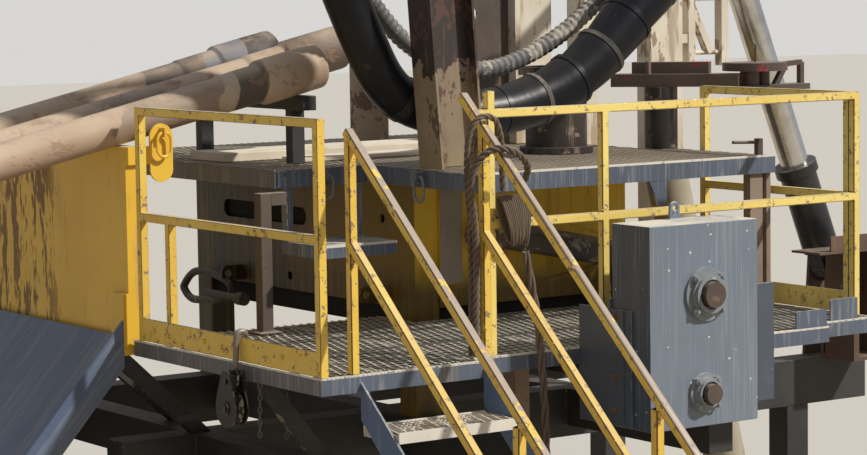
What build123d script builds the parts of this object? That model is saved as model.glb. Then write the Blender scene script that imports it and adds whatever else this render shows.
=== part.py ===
from build123d import *
import os
from math import cos, radians, sin, tan

# Work floor of a water well drilling rig, in millimetres, +Z up.
# All pieces are drawn from the lower deck's front left corner, at the level of its grating,
# with +X along the front edge and +Y towards the back, and are set on the ground at the end.

# Driving dimensions
deck_height = 1700.0
upper_deck_rise = 750.0
rail_height = 1067.0
mid_rail_height = 588.0
rail_tube = 38.0
toe_board_height = 109.0
grating_thickness = 8.0
lower_fascia = 66.0
upper_fascia = 80.0
edge_plate = 10.0
deck_right_x = 3106.0
deck_back_y = 1290.0
landing_back_y = 1600.0
landing_right_x = 830.0
stair_risers = 8
stair_going = 240.0
stair_left_x = 192.0
stair_right_x = 829.0
core_left_x = 1370.0
core_right_x = 2650.0
core_front_y = 1320.0
core_back_y = 3400.0
core_bottom_z = 50.0
core_plate = 12.0
core_leg = 140.0
beam_top_z = -475.0
beam_depth = 250.0
beam_width = 160.0
front_beam_y = 1700.0
back_beam_y = 3300.0
beam_left_x = -60.0
beam_right_x = 4600.0
wall_near_y = 1620.0
wall_far_y = 3560.0
wall_top_z = 882.0
wall_sheet = 12.0
ramp_angle = 48.0
mast_top_z = 2900.0
pipe_radius = 85.0
joint_radius = 108.0
pipe_wall = 15.0
pipe_length = 6100.0
pipe_slope = 12.7
pipe_rest_x = 1000.0
pipe_rest_half = 35.0
trestle_x = -3880.0
case_left_x = 1410.0
case_right_x = 2018.0
case_front_y = -400.0
case_back_y = -143.0
case_bottom_z = -325.0
case_top_z = 562.0
case_wall = 8.0
upper_shaft_radius = 56.0
lower_shaft_radius = 43.0
running_gap = 0.05
hose_radius = 105.0
ribbed_radius = 45.0
ground_z = -deck_height

deck_bottom = -grating_thickness - lower_fascia
upper_top = upper_deck_rise - grating_thickness
upper_bottom = upper_top - upper_fascia
pipe_tan = tan(radians(pipe_slope))
pipe_cos = cos(radians(pipe_slope))

nodes = {}


def block(x0, x1, y0, y1, z0, z1):
    """A box between two corners."""
    centre = Pos((x0 + x1) / 2, (y0 + y1) / 2, (z0 + z1) / 2)
    return centre * Box(abs(x1 - x0), abs(y1 - y0), abs(z1 - z0))


def bar(start, end, width, depth, side=(0, 0, 1)):
    """A rectangular bar between two points, its depth measured along side."""
    along = Vector(*end) - Vector(*start)
    across = along.cross(Vector(*side)).normalized()
    section = Plane(origin=start, x_dir=across, z_dir=along.normalized())
    return extrude(section * Rectangle(width, depth), along.length)


def rod(start, end, radius):
    """A round bar between two points."""
    along = Vector(*end) - Vector(*start)
    section = Plane(origin=start, z_dir=along.normalized())
    return extrude(section * Circle(radius), along.length)


def tube(start, end, radius, wall):
    """A round tube between two points, open at both ends."""
    return rod(start, end, radius) - rod(start, end, radius - wall)


def plate(points, thickness, plane):
    """A flat plate with a straight-sided outline, drawn on a plane and raised off it."""
    return plane * extrude(make_face(Polyline(*points, close=True)), thickness)


def facing_front(x, y, z):
    """A plane that looks towards the front, for plates that stand across the rig."""
    return Plane(origin=(x, y, z), x_dir=(1, 0, 0), z_dir=(0, -1, 0))


def facing_right(x, y, z):
    """A plane that looks to the right, for plates that stand along the rig."""
    return Plane(origin=(x, y, z), x_dir=(0, 1, 0), z_dir=(1, 0, 0))


def joined(pieces):
    """Pieces fused into one body."""
    body = pieces[0]
    for piece in pieces[1:]:
        body = body + piece
    return body


def spread(first, last, count):
    """Evenly spaced values from first to last."""
    return [first + (last - first) * i / (count - 1) for i in range(count)]


def rim_of(outline, depth):
    """An edge plate that runs round inside a deck's outline."""
    face = make_face(Polyline(*outline, close=True))
    return extrude(face, depth) - extrude(offset(face, -edge_plate, kind=Kind.INTERSECTION), depth)


def corner_radii(points):
    """The radius of the arc at each inner corner of a rope's route."""
    corners = [Vector(*p) for p in points]
    radii = []
    for a, b, c in zip(corners, corners[1:], corners[2:]):
        half_turn = radians((b - a).get_angle(c - b) / 2)
        radii.append(0.45 * min((b - a).length, (c - b).length) / tan(half_turn))
    return radii


# Lower deck, with the ear plates of its two right bays
lower_outline = [(0, 0), (landing_right_x, 0), (landing_right_x, 80), (2350, 80), (2350, -120), (2706, -120),
                 (2706, 0), (deck_right_x, 0), (deck_right_x, deck_back_y), (core_left_x - 20, deck_back_y),
                 (core_left_x - 20, landing_back_y), (0, landing_back_y)]


def make_lower_deck():
    frame = [Pos(0, 0, deck_bottom) * rim_of(lower_outline, lower_fascia)]
    for x in (300.0, 800.0):
        frame.append(block(x, x + 50, 5, landing_back_y - 5, deck_bottom, -grating_thickness))
    for x in (1350.0, 1900.0, 2360.0, 2650.0):
        frame.append(block(x, x + 50, 85, deck_back_y - 5, deck_bottom, -grating_thickness))
    frame.append(block(5, deck_right_x - 5, 600, 650, deck_bottom, -grating_thickness))
    grating = Pos(0, 0, -grating_thickness) * extrude(make_face(Polyline(*lower_outline, close=True)),
                                                      grating_thickness)
    for x0, x1, y, top in ((2504, 2694, -120, 82), (2829, 3001, 0, 102)):
        face = facing_front((x0 + x1) / 2, y + edge_plate, top / 2 - 20)
        frame.append(extrude(face * RectangleRounded(x1 - x0, top + 40, 12), 8))
        grating = grating - block(x0 - 0.5, x1 + 0.5, y - 1, y + edge_plate + 0.5, -grating_thickness, 0)
    nodes["lower_deck_grating"] = grating
    nodes["lower_deck_frame"] = joined(frame)


# Upper deck, an L-shaped floor round the front of the core
upper_outline = [(690, 1470), (1215, 1470), (1215, 570), (2995, 570), (2995, 1330), (2890, 1330),
                 (2890, core_back_y), (690, core_back_y)]


def make_upper_deck():
    frame = [rim_of(upper_outline, upper_fascia)]
    frame += [block(695, 2885, y, y + 50, 0, upper_fascia) for y in (1900, 2600)]
    frame += [block(x, x + 50, 575, 1480, 0, upper_fascia) for x in (1700, 2300)]
    frame += [block(1370, 2890, 1440, 1490, 0, upper_fascia)]
    body = Pos(0, 0, upper_bottom) * joined(frame)
    gusset = [(-55, 0), (55, 0), (50, -125), (0, -125)]
    body = body + plate(gusset, 12, facing_front(2261, 584, upper_bottom + 5))
    corner = (extrude(facing_front(736, 1470, upper_bottom + 42) * RectangleRounded(64, 80, 8), 8)
              - rod((740, 1440, upper_bottom + 60), (740, 1475, upper_bottom + 60), 12))
    left_eye = ring_eye(left_ring_x, 1470, ring_level, 44, 28)
    right_eye = block(1171, 1215, right_ring_y - 6, right_ring_y + 6, ring_level - 22, ring_level + 22)
    right_eye = right_eye - rod((1187, right_ring_y - 20, ring_level), (1187, right_ring_y + 20, ring_level), 12)
    nodes["upper_deck_frame"] = joined([body, corner, left_eye, right_eye])
    nodes["upper_deck_grating"] = Pos(0, 0, upper_top) * extrude(
        make_face(Polyline(*upper_outline, close=True)), grating_thickness)
    nodes["deck_sills"] = Compound(children=[
        block(790, 2150, 2100, 2440, upper_deck_rise, upper_deck_rise + 42),
        block(1080, 2150, 1830, 2040, upper_deck_rise, upper_deck_rise + 18)])
    posts = [block(2850, 2930, 590, 640, 0, upper_bottom), block(2962, 2992, 600, 630, 0, upper_bottom)]
    posts += [block(x - 40, x + 40, 560, 640, beam_top_z, deck_bottom) for x in (1440.0, 2580.0)]
    nodes["deck_posts"] = Compound(children=posts)
    nodes["lift_lever"] = joined([
        block(2925, 2955, 615, 645, upper_deck_rise, upper_deck_rise + 78),
        rod((2925, 630, upper_deck_rise + 60), (2775, 630, upper_deck_rise + 66), 8)])


# Core, the deep box that carries the mast: four legs with plates between them
def make_core():
    legs = []
    for x in (core_left_x, core_right_x - core_leg):
        for y in (core_front_y, core_back_y - core_leg):
            legs.append(block(x, x + core_leg, y, y + core_leg, beam_top_z, upper_bottom))
    nodes["core_legs"] = Compound(children=legs)
    front = block(core_left_x + core_leg, core_right_x, core_front_y - core_plate, core_front_y,
                  core_bottom_z, upper_bottom)
    slot = facing_front(2580, core_front_y, 262) * SlotOverall(125, 22, rotation=90)
    front = front - extrude(slot, core_plate + 10)
    side_start = core_front_y + core_leg
    side_end = core_back_y - core_leg
    left = block(core_left_x, core_left_x + core_plate, side_start, side_end, core_bottom_z, upper_bottom)
    slot = facing_right(core_left_x, 2700, 435) * SlotOverall(820, 90)
    left = left - extrude(slot, core_plate)
    for y, z in ((1595, 472), (2454, 122)):
        left = left - rod((core_left_x - 5, y, z), (core_left_x + core_plate + 5, y, z), 22)
    rear = [
        block(core_right_x - core_plate, core_right_x, side_start, side_end, core_bottom_z, upper_bottom),
        block(core_left_x + core_leg, core_right_x - core_leg, core_back_y - core_plate, core_back_y,
              core_bottom_z, upper_bottom)]
    for y, z in ((1640.0, 100.0), (2960.0, 100.0)):
        lug = Pos(-40, 0) * Rectangle(80, 80) + Pos(-80, 0) * Circle(40) - Pos(-80, 0) * Circle(20)
        left = left + facing_front(core_left_x, y, z) * extrude(lug, 20)
    nodes["core_panels"] = Compound(children=[front, left] + rear)


# Substructure from the ground up
def make_substructure():
    beam_bottom = beam_top_z - beam_depth
    half = beam_width / 2
    beams = [block(beam_left_x, beam_right_x, y - half, y + half, beam_bottom, beam_top_z)
             for y in (front_beam_y, back_beam_y)]
    for x, near in ((400.0, 500.0), (1440.0, 500.0), (2580.0, 500.0), (3675.0, front_beam_y)):
        beams.append(block(x - 75, x + 75, near, core_back_y, beam_bottom + 60, beam_top_z))
    nodes["base_beams"] = joined(beams)
    legs = []
    for x in (180.0, 4100.0):
        for y in (front_beam_y, back_beam_y):
            leg = block(x - 75, x + 75, y - 75, y + 75, ground_z + 20, beam_bottom)
            foot = block(x - 200, x + 200, y - 200, y + 200, ground_z, ground_z + 20)
            legs.append(leg + foot)
    nodes["support_legs"] = Compound(children=legs)
    cut = block(-900, 1500, 200, 2400, beam_top_z - 300, beam_top_z) + block(-900, 1500, 200, 1615, deck_bottom, 200)
    cut = cut + block(-900, 1500, 1615, 2400, deck_bottom, 200)
    braces = []
    for top, bottom, y in (((-95, -35), (420, -520), front_beam_y - 30), ((0, -60), (530, -520), 2050),
                           ((40, -45), (430, -520), 600)):
        braces.append(bar((top[0], y, top[1]), (bottom[0], y, bottom[1]), 70, 50, (0, 1, 0)) - cut)
    nodes["knee_braces"] = Compound(children=braces)


# Wall beside the upper deck, and the slide that runs down from it
def make_wall_and_ramp():
    sheet = block(-wall_sheet, 0, wall_near_y, wall_far_y, 20, wall_top_z)
    ribs = [block(0, 70, y, y + 12, 20, wall_top_z - 60)
            for y in spread(wall_near_y, wall_far_y - 12, 4)]
    top_tube = block(-wall_sheet, 60, wall_near_y, wall_far_y, wall_top_z - 60, wall_top_z)
    foot = block(-wall_sheet, 130, wall_near_y, wall_far_y, deck_bottom, 20)
    pillar = block(-40, -wall_sheet, wall_near_y, wall_near_y + 120, deck_bottom, 210)
    nodes["side_wall"] = joined([sheet, top_tube, foot, pillar] + ribs)
    run = (20 - ground_z) / tan(radians(ramp_angle))
    edge_x = -wall_sheet - 28.5
    low = (edge_x - run, ground_z)
    high = (edge_x, 20)
    thick = 12 / cos(radians(ramp_angle))
    far = facing_front(0, wall_far_y, 0)
    slide = plate([high, low, (low[0] + thick, low[1]), (high[0], high[1] - thick)],
                  wall_far_y - wall_near_y, far)
    cheeks = []
    for y in (wall_near_y + 20, wall_far_y):
        cheeks.append(plate([(high[0], high[1] + 70), (high[0], high[1] - 150), (low[0] + 150, ground_z),
                             (low[0] - 60, ground_z)], 20, facing_front(0, y, 0)))
    nodes["pipe_ramp"] = joined([slide] + cheeks)


# Drill pipes that lie over the wall, with the rest and trestle that hold them
pipe_rows = {"drill_pipe_front": (1720.0, 1099.0), "drill_pipe_middle": (2050.0, 1438.0),
             "drill_pipe_back": (2520.0, 1330.0)}
pipe_contact_x = -wall_sheet


def pipe_underside(x):
    """Height of the drill pipes' underside over a place along X."""
    return wall_top_z + 0.5 + (x - pipe_contact_x) * pipe_tan


def make_pipes():
    direction = Vector(-pipe_cos, 0, -sin(radians(pipe_slope)))
    for name, (y, end_x) in pipe_rows.items():
        end = Vector(end_x, y, pipe_underside(end_x) + pipe_radius / pipe_cos)
        profile = Polyline(
            (0, 0), (joint_radius - 20, 0), (joint_radius, 20), (joint_radius, 330), (joint_radius - 16, 350),
            (joint_radius - 16, 440), (pipe_radius + 6, 520), (pipe_radius + 6, 556), (pipe_radius, 562),
            (pipe_radius, pipe_length - 460), (joint_radius - 10, pipe_length - 380),
            (joint_radius - 10, pipe_length - 30), (joint_radius - 30, pipe_length), (0, pipe_length), close=True)
        body = revolve(Plane.XZ * make_face(profile), Axis.Z)
        body = body - extrude(Circle(pipe_radius - pipe_wall), pipe_length)
        nodes[name] = Plane(origin=end, z_dir=direction) * body


def make_pipe_supports():
    x0, x1 = pipe_rest_x - pipe_rest_half, pipe_rest_x + pipe_rest_half
    joint_drop = (joint_radius - pipe_radius) / pipe_cos + 0.5
    top = pipe_underside(x0) - joint_drop
    beam = block(x0, x1, 1640, 2680, top - 70, top)
    posts = [block(x0, x1, y, y + 60, upper_deck_rise, top - 60) for y in (1750, 2620)]
    nodes["pipe_rest"] = joined([beam] + posts)
    x0, x1 = trestle_x - 60, trestle_x + 60
    top = pipe_underside(x0) - 0.5
    beam = block(x0, x1, 1560, 2700, top - 110, top)
    legs = []
    for y, out in ((1680, -150), (2580, 150)):
        for lean in (-350, 350):
            start = (trestle_x + (0.08 * lean), y, top - 90)
            legs.append(bar(start, (trestle_x + lean, y + out, ground_z - 60), 80, 80, (0, 1, 0)))
        level = ground_z + 420
        legs.append(bar((trestle_x - 230, y + out * 0.7, level), (trestle_x + 230, y + out * 0.7, level), 50, 50))
    ground = block(trestle_x - 900, trestle_x + 900, 1000, 3500, ground_z - 400, ground_z)
    nodes["pipe_trestle"] = joined([beam] + legs) - ground


# Guard rails of square tube
def make_rails():
    top0 = rail_height - rail_tube
    mid0 = mid_rail_height - rail_tube
    far = 1548.0
    nodes["left_rail"] = joined([
        block(0, rail_tube, 0, rail_tube, 0, rail_height),
        block(0, rail_tube, far - rail_tube, far, 0, rail_height),
        block(0, rail_tube, 1250, 1250 + rail_tube, 0, mid0),
        block(0, rail_tube, 0, far, top0, rail_height),
        block(0, rail_tube, 0, far, mid0, mid_rail_height),
        block(0, 6, rail_tube, far, 4, toe_board_height)])
    front_y = 83.0
    back_y = front_y + rail_tube
    nodes["front_rail"] = joined([
        block(1540, 1540 + rail_tube, front_y, back_y, 0, rail_height),
        block(3055, 3093, front_y, back_y, 0, rail_height),
        block(918, 918 + rail_tube, front_y, back_y, 0, rail_height + 78),
        block(868, 3093, front_y, back_y, top0, rail_height),
        block(868, 3093, front_y, back_y, mid0, mid_rail_height)])
    near = back_y + 0.5
    far = 1207.0
    nodes["end_rail"] = joined([
        block(3055, 3093, near, far, top0, rail_height),
        block(3055, 3093, near, far, mid0, mid_rail_height),
        block(3055, 3093, near, near + rail_tube, 0, rail_height),
        block(3055, 3093, far - rail_tube, far, 0, rail_height),
        block(3087, 3093, near, far, 4, toe_board_height)])


# Stair from the ground to the lower deck
def make_stair():
    rise = deck_height / stair_risers
    run = stair_going * (stair_risers - 1)
    stringer = [(-0.5, -30), (-0.5, -190), (-run - 40, ground_z), (-run - 210, ground_z),
                (-run - 210, ground_z + 60)]
    sides = [plate(stringer, 10, facing_right(x, 0, 0)) for x in (stair_left_x, stair_right_x - 10)]
    nodes["stair_stringers"] = Compound(children=sides)
    treads = []
    for step in range(1, stair_risers):
        z = -rise * step
        y = -stair_going * (step - 1) - 2
        treads.append(block(stair_left_x + 10, stair_right_x - 10, y - 265, y, z - 45, z))
    nodes["stair_treads"] = Compound(children=treads)
    slope = rise / stair_going
    half = rail_tube / 2
    rails = []
    for x, head_y in ((stair_left_x - half - 0.5, 38), (stair_right_x + half + 0.5, 172)):
        foot_y = -stair_going * (stair_risers - 1)
        lug_z = slope * foot_y - 90
        pieces = [block(x - half, x + half, 0.5, rail_tube, 0.2, 1000),
                  block(x - half, x + half, -1150, -1150 + rail_tube, -1150 * slope - 90, -1150 * slope + 950),
                  block(x - half, x + half, foot_y, foot_y + rail_tube, lug_z, foot_y * slope + 950)]
        for height, start in ((975, head_y), (528, 30)):
            top = (x, start, height + slope * start)
            low = (x, foot_y - 50, height + slope * (foot_y - 50))
            pieces.append(bar(top, low, rail_tube, rail_tube))
        rails.append(joined(pieces))
    nodes["stair_rails"] = Compound(children=rails)


# Brown post, hangers and half step under the upper deck's corner
def make_step():
    nodes["corner_post"] = (block(545, 605, 1360, 1420, 10, upper_bottom - 10)
                            + block(515, 635, 1330, 1450, 0, 10)
                            + block(605, 689, 1365, 1415, upper_bottom - 10 - 60, upper_bottom - 10))
    nodes["half_step"] = joined([
        block(740, 1160, 1150, 1496, 350, 412),
        block(740, 745, 1446, 1496, 412, upper_bottom), block(740, 800, 1490, 1496, 412, upper_bottom),
        block(1120, 1160, 1446, 1496, 412, upper_bottom)])


# Chain case on the front of the lower deck, with its bearings and shafts
upper_shaft_at = (1723.0, 253.0)
lower_shaft_at = (1715.0, -178.0)


def make_case():
    outer = block(case_left_x, case_right_x, case_front_y, case_back_y, case_bottom_z, case_top_z)
    inner = block(case_left_x + case_wall, case_right_x - case_wall, case_front_y + case_wall,
                  case_back_y - case_wall, case_bottom_z + case_wall, case_top_z - case_wall)
    body = outer - inner
    for (x, z), radius in ((upper_shaft_at, upper_shaft_radius), (lower_shaft_at, lower_shaft_radius)):
        body = body - rod((x, case_front_y - 20, z), (x, case_front_y + 20, z), radius + 6)
    lug = Pos(0, 25) * Rectangle(56, 50) + Pos(0, 50) * Circle(28) - Pos(0, 50) * Circle(12)
    nodes["chain_case"] = body + extrude(facing_front(1730, case_back_y - 30, case_top_z) * lug, 14)
    bearings = []
    for name, (x, z), size, radius in (("upper", upper_shaft_at, 118, upper_shaft_radius),
                                       ("lower", lower_shaft_at, 88, lower_shaft_radius)):
        face = facing_front(x, case_front_y, z)
        ears = [Pos(a * 0.6 * size, b * 0.6 * size) * Circle(17) for a in (-1, 1) for b in (-1, 1)]
        housing = extrude(face * Circle(size), 12) + extrude(face * joined([Circle(0.78 * size)] + ears), 30)
        housing = housing + extrude(face * Circle(0.7 * size), 44)
        bore = extrude(face * Circle(radius + running_gap), 60)
        mouth = extrude(facing_front(x, case_front_y - 24, z) * Circle(radius + 9), 60)
        bearings.append(housing - bore - mouth)
        nodes[name + "_shaft"] = rod((x, case_front_y + 60, z), (x, case_front_y - 68, z), radius)
    nodes["shaft_bearings"] = Compound(children=bearings)
    nodes["case_bracket"] = joined([
        block(case_left_x - 12, case_left_x, case_back_y - 145, 78, -320, 190),
        block(case_left_x - 12, 2345, case_back_y, case_back_y + 12, -300, 235),
        block(2333, 2345, case_back_y, 78, -300, 200),
        block(case_left_x - 12, 2345, 68, 79.5, -300, deck_bottom - 20)])


# Snatch block hooked over the left toe board
block_y = 640.0
block_pivot_z = 109.0
hook_inner = 16.0
hook_outer = 28.0


def make_snatch_block():
    hook_mid = (hook_inner + hook_outer) / 2
    hook_bar = hook_outer - hook_inner
    face = facing_front(3, block_y + 6, block_pivot_z)
    bow = Circle(hook_outer) - Circle(hook_inner) - Pos(0, -hook_outer) * Rectangle(4 * hook_outer, 2 * hook_outer)
    shank = Pos(-hook_mid, -75) * Rectangle(hook_bar, 150)
    tip = Pos(hook_mid, -2.5) * Rectangle(hook_bar, 5)
    hook = extrude(face * (bow + shank + tip), 12)
    centre_x = 3 - hook_mid - 30
    centre_z = block_pivot_z - 300
    side = facing_right(centre_x, block_y, centre_z)
    cheek_shape = Circle(85) + Pos(0, 75) * Rectangle(66, 130)
    cheeks = [side * Pos(0, 0, offset_x) * extrude(cheek_shape, 10) for offset_x in (-34, 24)]
    head = block(centre_x - 34, centre_x + 34, block_y - 33, block_y + 33, centre_z + 105, centre_z + 140)
    pin = rod((centre_x - 42, block_y, centre_z), (centre_x + 42, block_y, centre_z), 14)
    neck = block(centre_x - 10, 3 - hook_inner, block_y - 14, block_y + 14, centre_z + 135, centre_z + 165)
    nodes["snatch_block"] = joined([hook] + cheeks + [head, pin, neck])
    bore = 14 + running_gap
    groove = Polyline((bore, -18), (70, -18), (76, -15), (60, 0), (76, 15), (70, 18), (bore, 18), close=True)
    wheel = revolve(Plane.XZ * make_face(groove), Axis.Z)
    nodes["snatch_sheave"] = Plane(origin=(centre_x, block_y, centre_z), z_dir=(1, 0, 0)) * wheel


# Hanging rings, each in an eye
wall_ring_x = 160.0
wall_ring_z = 945.0
left_ring_x = 958.0
right_ring_y = 1006.0
ring_level = upper_bottom + 52


def link(height, width, bar_width):
    """A long flat link that hangs in the XZ plane, its upper bar centred on the origin."""
    outer = SlotOverall(height + bar_width, width + bar_width, rotation=90)
    inner = SlotOverall(height - bar_width, width - bar_width, rotation=90)
    return Pos(0, bar_width / 2, -height / 2) * (Plane.XZ * extrude(outer - inner, bar_width))


def ring_eye(x, y, z, reach, gap):
    """An eye plate whose hole carries a ring at a distance from the plate behind it."""
    eye = block(x - 6, x + 6, y - reach, y, z - 22, z + 22)
    return eye - rod((x - 20, y - gap, z), (x + 20, y - gap, z), 12)


def make_rings():
    outline = Pos(0, 850) * Rectangle(118, 150) + Pos(0, 775) * Circle(59) + Pos(0, 925) * Circle(59)
    nodes["side_wall"] = joined([
        nodes["side_wall"],
        extrude(facing_front(wall_ring_x, wall_near_y - 20, 0) * outline, 12),
        block(-wall_sheet, wall_ring_x + 59, wall_near_y - 20, wall_near_y, 800, wall_top_z),
        ring_eye(wall_ring_x, wall_near_y - 32, wall_ring_z, 44, 28)])
    nodes["wall_ring"] = Pos(wall_ring_x, wall_near_y - 60, wall_ring_z) * link(112, 72, 14)
    nodes["left_deck_ring"] = Pos(left_ring_x, 1442, ring_level) * link(116, 76, 14)
    nodes["right_deck_ring"] = Pos(1187, right_ring_y, ring_level) * Rot(0, 0, 90) * link(116, 76, 14)


# Mast section: two side frames, ties between them, a guide plate and a ladder
cylinder_knee = (4150.0, 590.0)
cylinder_lean = -230.0 / 573.0
cylinder_head_z = 2790.0
mast_front_y = 2200.0
mast_back_y = 2900.0


def side_frame(x0, x1, foot_z):
    """A mast side with a front and a back leg, level bars and diagonals."""
    leg = 120
    middle = (x0 + x1) / 2
    pieces = [block(x0, x1, mast_front_y, mast_front_y + leg, foot_z, mast_top_z),
              block(middle - 60, middle + 60, mast_back_y, mast_back_y + leg, foot_z, mast_top_z)]
    levels = (1560.0, 2180.0, 2800.0)
    for z in levels:
        pieces.append(block(middle - 35, middle + 35, mast_front_y + 60, mast_back_y + 60, z, z + 70))
    for low, high in zip(levels, levels[1:]):
        pieces.append(bar((middle, mast_front_y + 70, low + 35), (middle, mast_back_y + 50, high + 35), 50, 50,
                          (1, 0, 0)))
    return joined(pieces)


def make_mast():
    nodes["mast_left_frame"] = side_frame(2634, 2872, upper_deck_rise)
    nodes["mast_right_frame"] = side_frame(3550, 3780, beam_top_z)
    ties = []
    for y in (mast_front_y + 20, mast_back_y + 20):
        for z in (1680, 2700):
            ties.append(block(2872 if y < mast_back_y else 2813, 3550 if y < mast_back_y else 3605, y, y + 80,
                              z, z + 80))
    pin_x = cylinder_knee[0] + cylinder_lean * (cylinder_head_z - cylinder_knee[1])
    clevis = [block(x, x + 16, front_beam_y - 60, 2220, 2745, 2860) for x in (pin_x - 88, pin_x + 72)]
    ties[1] = joined([ties[1], block(pin_x - 88, pin_x + 88, 2120, 2220, 2700, 2780)] + clevis
                     + [rod((pin_x - 100, front_beam_y, cylinder_head_z), (pin_x + 100, front_beam_y, cylinder_head_z),
                            28)])
    nodes["mast_ties"] = Compound(children=ties)
    guide = joined([block(2352, 2634, 2262, 2276, upper_deck_rise, mast_top_z),
                    block(2352, 2366, 2204, 2276, upper_deck_rise, mast_top_z)])
    nodes["mast_guide"] = guide - rod((2403, 2250, 1440), (2403, 2290, 1440), 30)
    stiles = [block(x, x + 50, 2210, 2270, 1120, mast_top_z) for x in (3830, 4070)]
    stiles.append(bar((3778, 2240, 1620), (4000, 2240, 1195), 40, 50, (0, 1, 0)) - block(3700, 3780, 2200, 2300,
                                                                                        1500, 1800))
    rungs = [rod((3840, 2240, z), (4110, 2240, z), 13) for z in spread(1195, 2695, 6)]
    stays = [block(3780, 3850, 2215, 2265, z, z + 50) for z in (1250, 2600)]
    nodes["mast_ladder"] = joined(stiles + rungs + stays)


# Guide channel that leans on the mast in front of the hose
channel_lean = 4.2
channel_foot = (1395.0, 1050.0)
channel_width = 322.0


def make_channel():
    height = mast_top_z - upper_deck_rise + 40
    half = channel_width / 2
    web = block(-half, half, 0, 12, -40, height)
    left = block(-half, -half + 12, -170, 0, -40, height)
    right = block(half - 12, half, -60, 0, -40, height)
    lean = Pos(channel_foot[0], channel_foot[1], upper_deck_rise) * Rot(0, -channel_lean, 0)
    body = lean * joined([web, left, right]) - block(900, 1900, 800, 1200, 0, upper_deck_rise)
    nodes["guide_channel"] = body - block(900, 1900, 800, 1200, mast_top_z, mast_top_z + 300)


# Black air hose that hangs in a deep bow, from the channel to the mast, and a thinner ribbed one behind it
def make_hoses():
    routes = [(hose_radius, [(520, 1190, 2420), (1300, 1190, 1000), (2130, 1190, 880), (2560, 1190, 1215),
                             (3100, 1190, 1960)], [420, 900, 700]),
              (ribbed_radius, [(620, 1450, 2490), (1290, 1450, 1400), (1880, 1450, 1130), (2500, 1450, 1400),
                               (3140, 1450, 1972)], [800, 850, 3000])]
    hoses, flanges = [], []
    for radius, points, radii in routes:
        path = FilletPolyline(*points, radius=radii)
        hoses.append(sweep(Plane(origin=path @ 0, z_dir=path % 0) * Circle(radius), path=path))
        for at, inward in ((points[0], path % 0), (points[-1], (path % 1) * -1)):
            origin = Vector(*at)
            flanges.append(rod(tuple(origin - inward * 60), tuple(origin), radius + 28))
    nodes["air_hoses"] = Compound(children=hoses)
    web_back = channel_foot[1] + 12.5
    left = joined([flanges[0], block(451, 531, 1150, 1230, 2470, 2600), block(451, 531, web_back, 1230, 2600, 2650),
                   block(451, 2352, web_back, web_back + 50, 2600, 2650),
                   block(2302, 2352, web_back, mast_front_y + 3.5, 2600, 2650),
                   flanges[2], block(563, 613, web_back, 1490, 2600, 2650), block(563, 613, 1410, 1490, 2535, 2600)])
    right = joined([flanges[1], bar((3150, 1230, 2050), (3640, mast_front_y + 100, 2050), 60, 60), flanges[3]])
    right = right - block(3400, 3900, mast_front_y, mast_front_y + 300, 1900, 2200)
    nodes["hose_hangers"] = Compound(children=[left, right])


# Rope hitched round the head of the stair's right rail, with a hank and a long tail
def make_rope():
    routes = {
        "rope_loop": (17, [(800, 30, 20), (806, 22, 298), (803, 20, 600), (715, -45, 785), (775, -110, 908),
                           (880, -165, 898), (1005, -120, 815), (1004, -15, 722)]),
        "rope_hitch": (14, [(802, 64, 17), (806, 60, 290), (803, 58, 570), (776, 44, 770), (764, 20, 955),
                            (806, 0, 1046), (890, -6, 1042), (932, 4, 960), (942, 18, 840), (950, 22, 722)]),
        "rope_tail": (19, [(1070, 30, 449), (1121, 30, 235), (1150, 30, 13), (1169, 30, -252), (1178, 32, -500)])}
    for name, (radius, points) in routes.items():
        radii = corner_radii(points)
        print(name, "arc radii", [round(r) for r in radii])
        path = FilletPolyline(*points, radius=radii)
        print(name, "length", round(path.length))
        nodes[name] = sweep(Plane(origin=path @ 0, z_dir=path % 0) * Circle(radius), path=path)
    crown = Plane(origin=(1000, 22, 704), z_dir=(0, 0, 1)) * Ellipse(100, 40)
    tip = Plane(origin=(1040, 28, 456), z_dir=(0, 0, 1)) * Ellipse(56, 30)
    nodes["rope_hank"] = loft([crown, tip])


# Drum over the well, round post and the turning wrench beside it
drum_at = (2380.0, 1520.0)


def make_floor_tools():
    x, y = drum_at
    floor = upper_deck_rise
    nodes["well_drum"] = joined([
        rod((x, y, floor), (x, y, floor + 30), 185),
        tube((x, y, floor), (x, y, floor + 390), 155, 20),
        tube((x, y, floor + 390), (x, y, floor + 430), 188, 53)])
    nodes["round_post"] = tube((2310, 3120, floor), (2310, 3120, floor + 420), 105, 12)
    x, y = 3060.0, 1520.0
    turn = Plane(origin=(x, y, 0), x_dir=(0.654, -0.757, 0), z_dir=(0, 0, 1))
    nodes["wrench_post"] = (rod((x, y, upper_bottom - 60), (x, y, 1055), 86)
                            + block(2890.5, 3010, y - 60, y + 60, upper_bottom, upper_bottom + 60))
    handle = [(3600, 1040), (3680, 1158), (3786, 1165), (3786, 1040)]
    pieces = [bar((a[0], 1255, a[1]), (b[0], 1255, b[1]), 26, 30, (0, 1, 0)) for a, b in zip(handle, handle[1:])]
    nodes["wrench_arm"] = joined([
        turn * Pos(80, 0, 1087.5) * Box(660, 130, 65),
        turn * Pos(50, 40, 1150) * Box(400, 90, 60),
        turn * Pos(-60, -30, 1120) * Cylinder(16, 130),
        block(3250, 3800, 1195, 1315, 1025, 1055)] + pieces)
    disc_x, disc_y = 3470.0, 1255.0
    nodes["wrench_disc"] = joined([
        rod((disc_x, disc_y, 1130), (disc_x, disc_y, 1172), 168),
        rod((disc_x - 35, disc_y, 1055.5), (disc_x - 35, disc_y, 1130), 50),
        rod((disc_x + 56, disc_y, 1055.5), (disc_x + 56, disc_y, 1130), 34),
        rod((disc_x + 40, disc_y + 40, 1172), (disc_x + 40, disc_y + 40, 1262), 6)])


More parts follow.
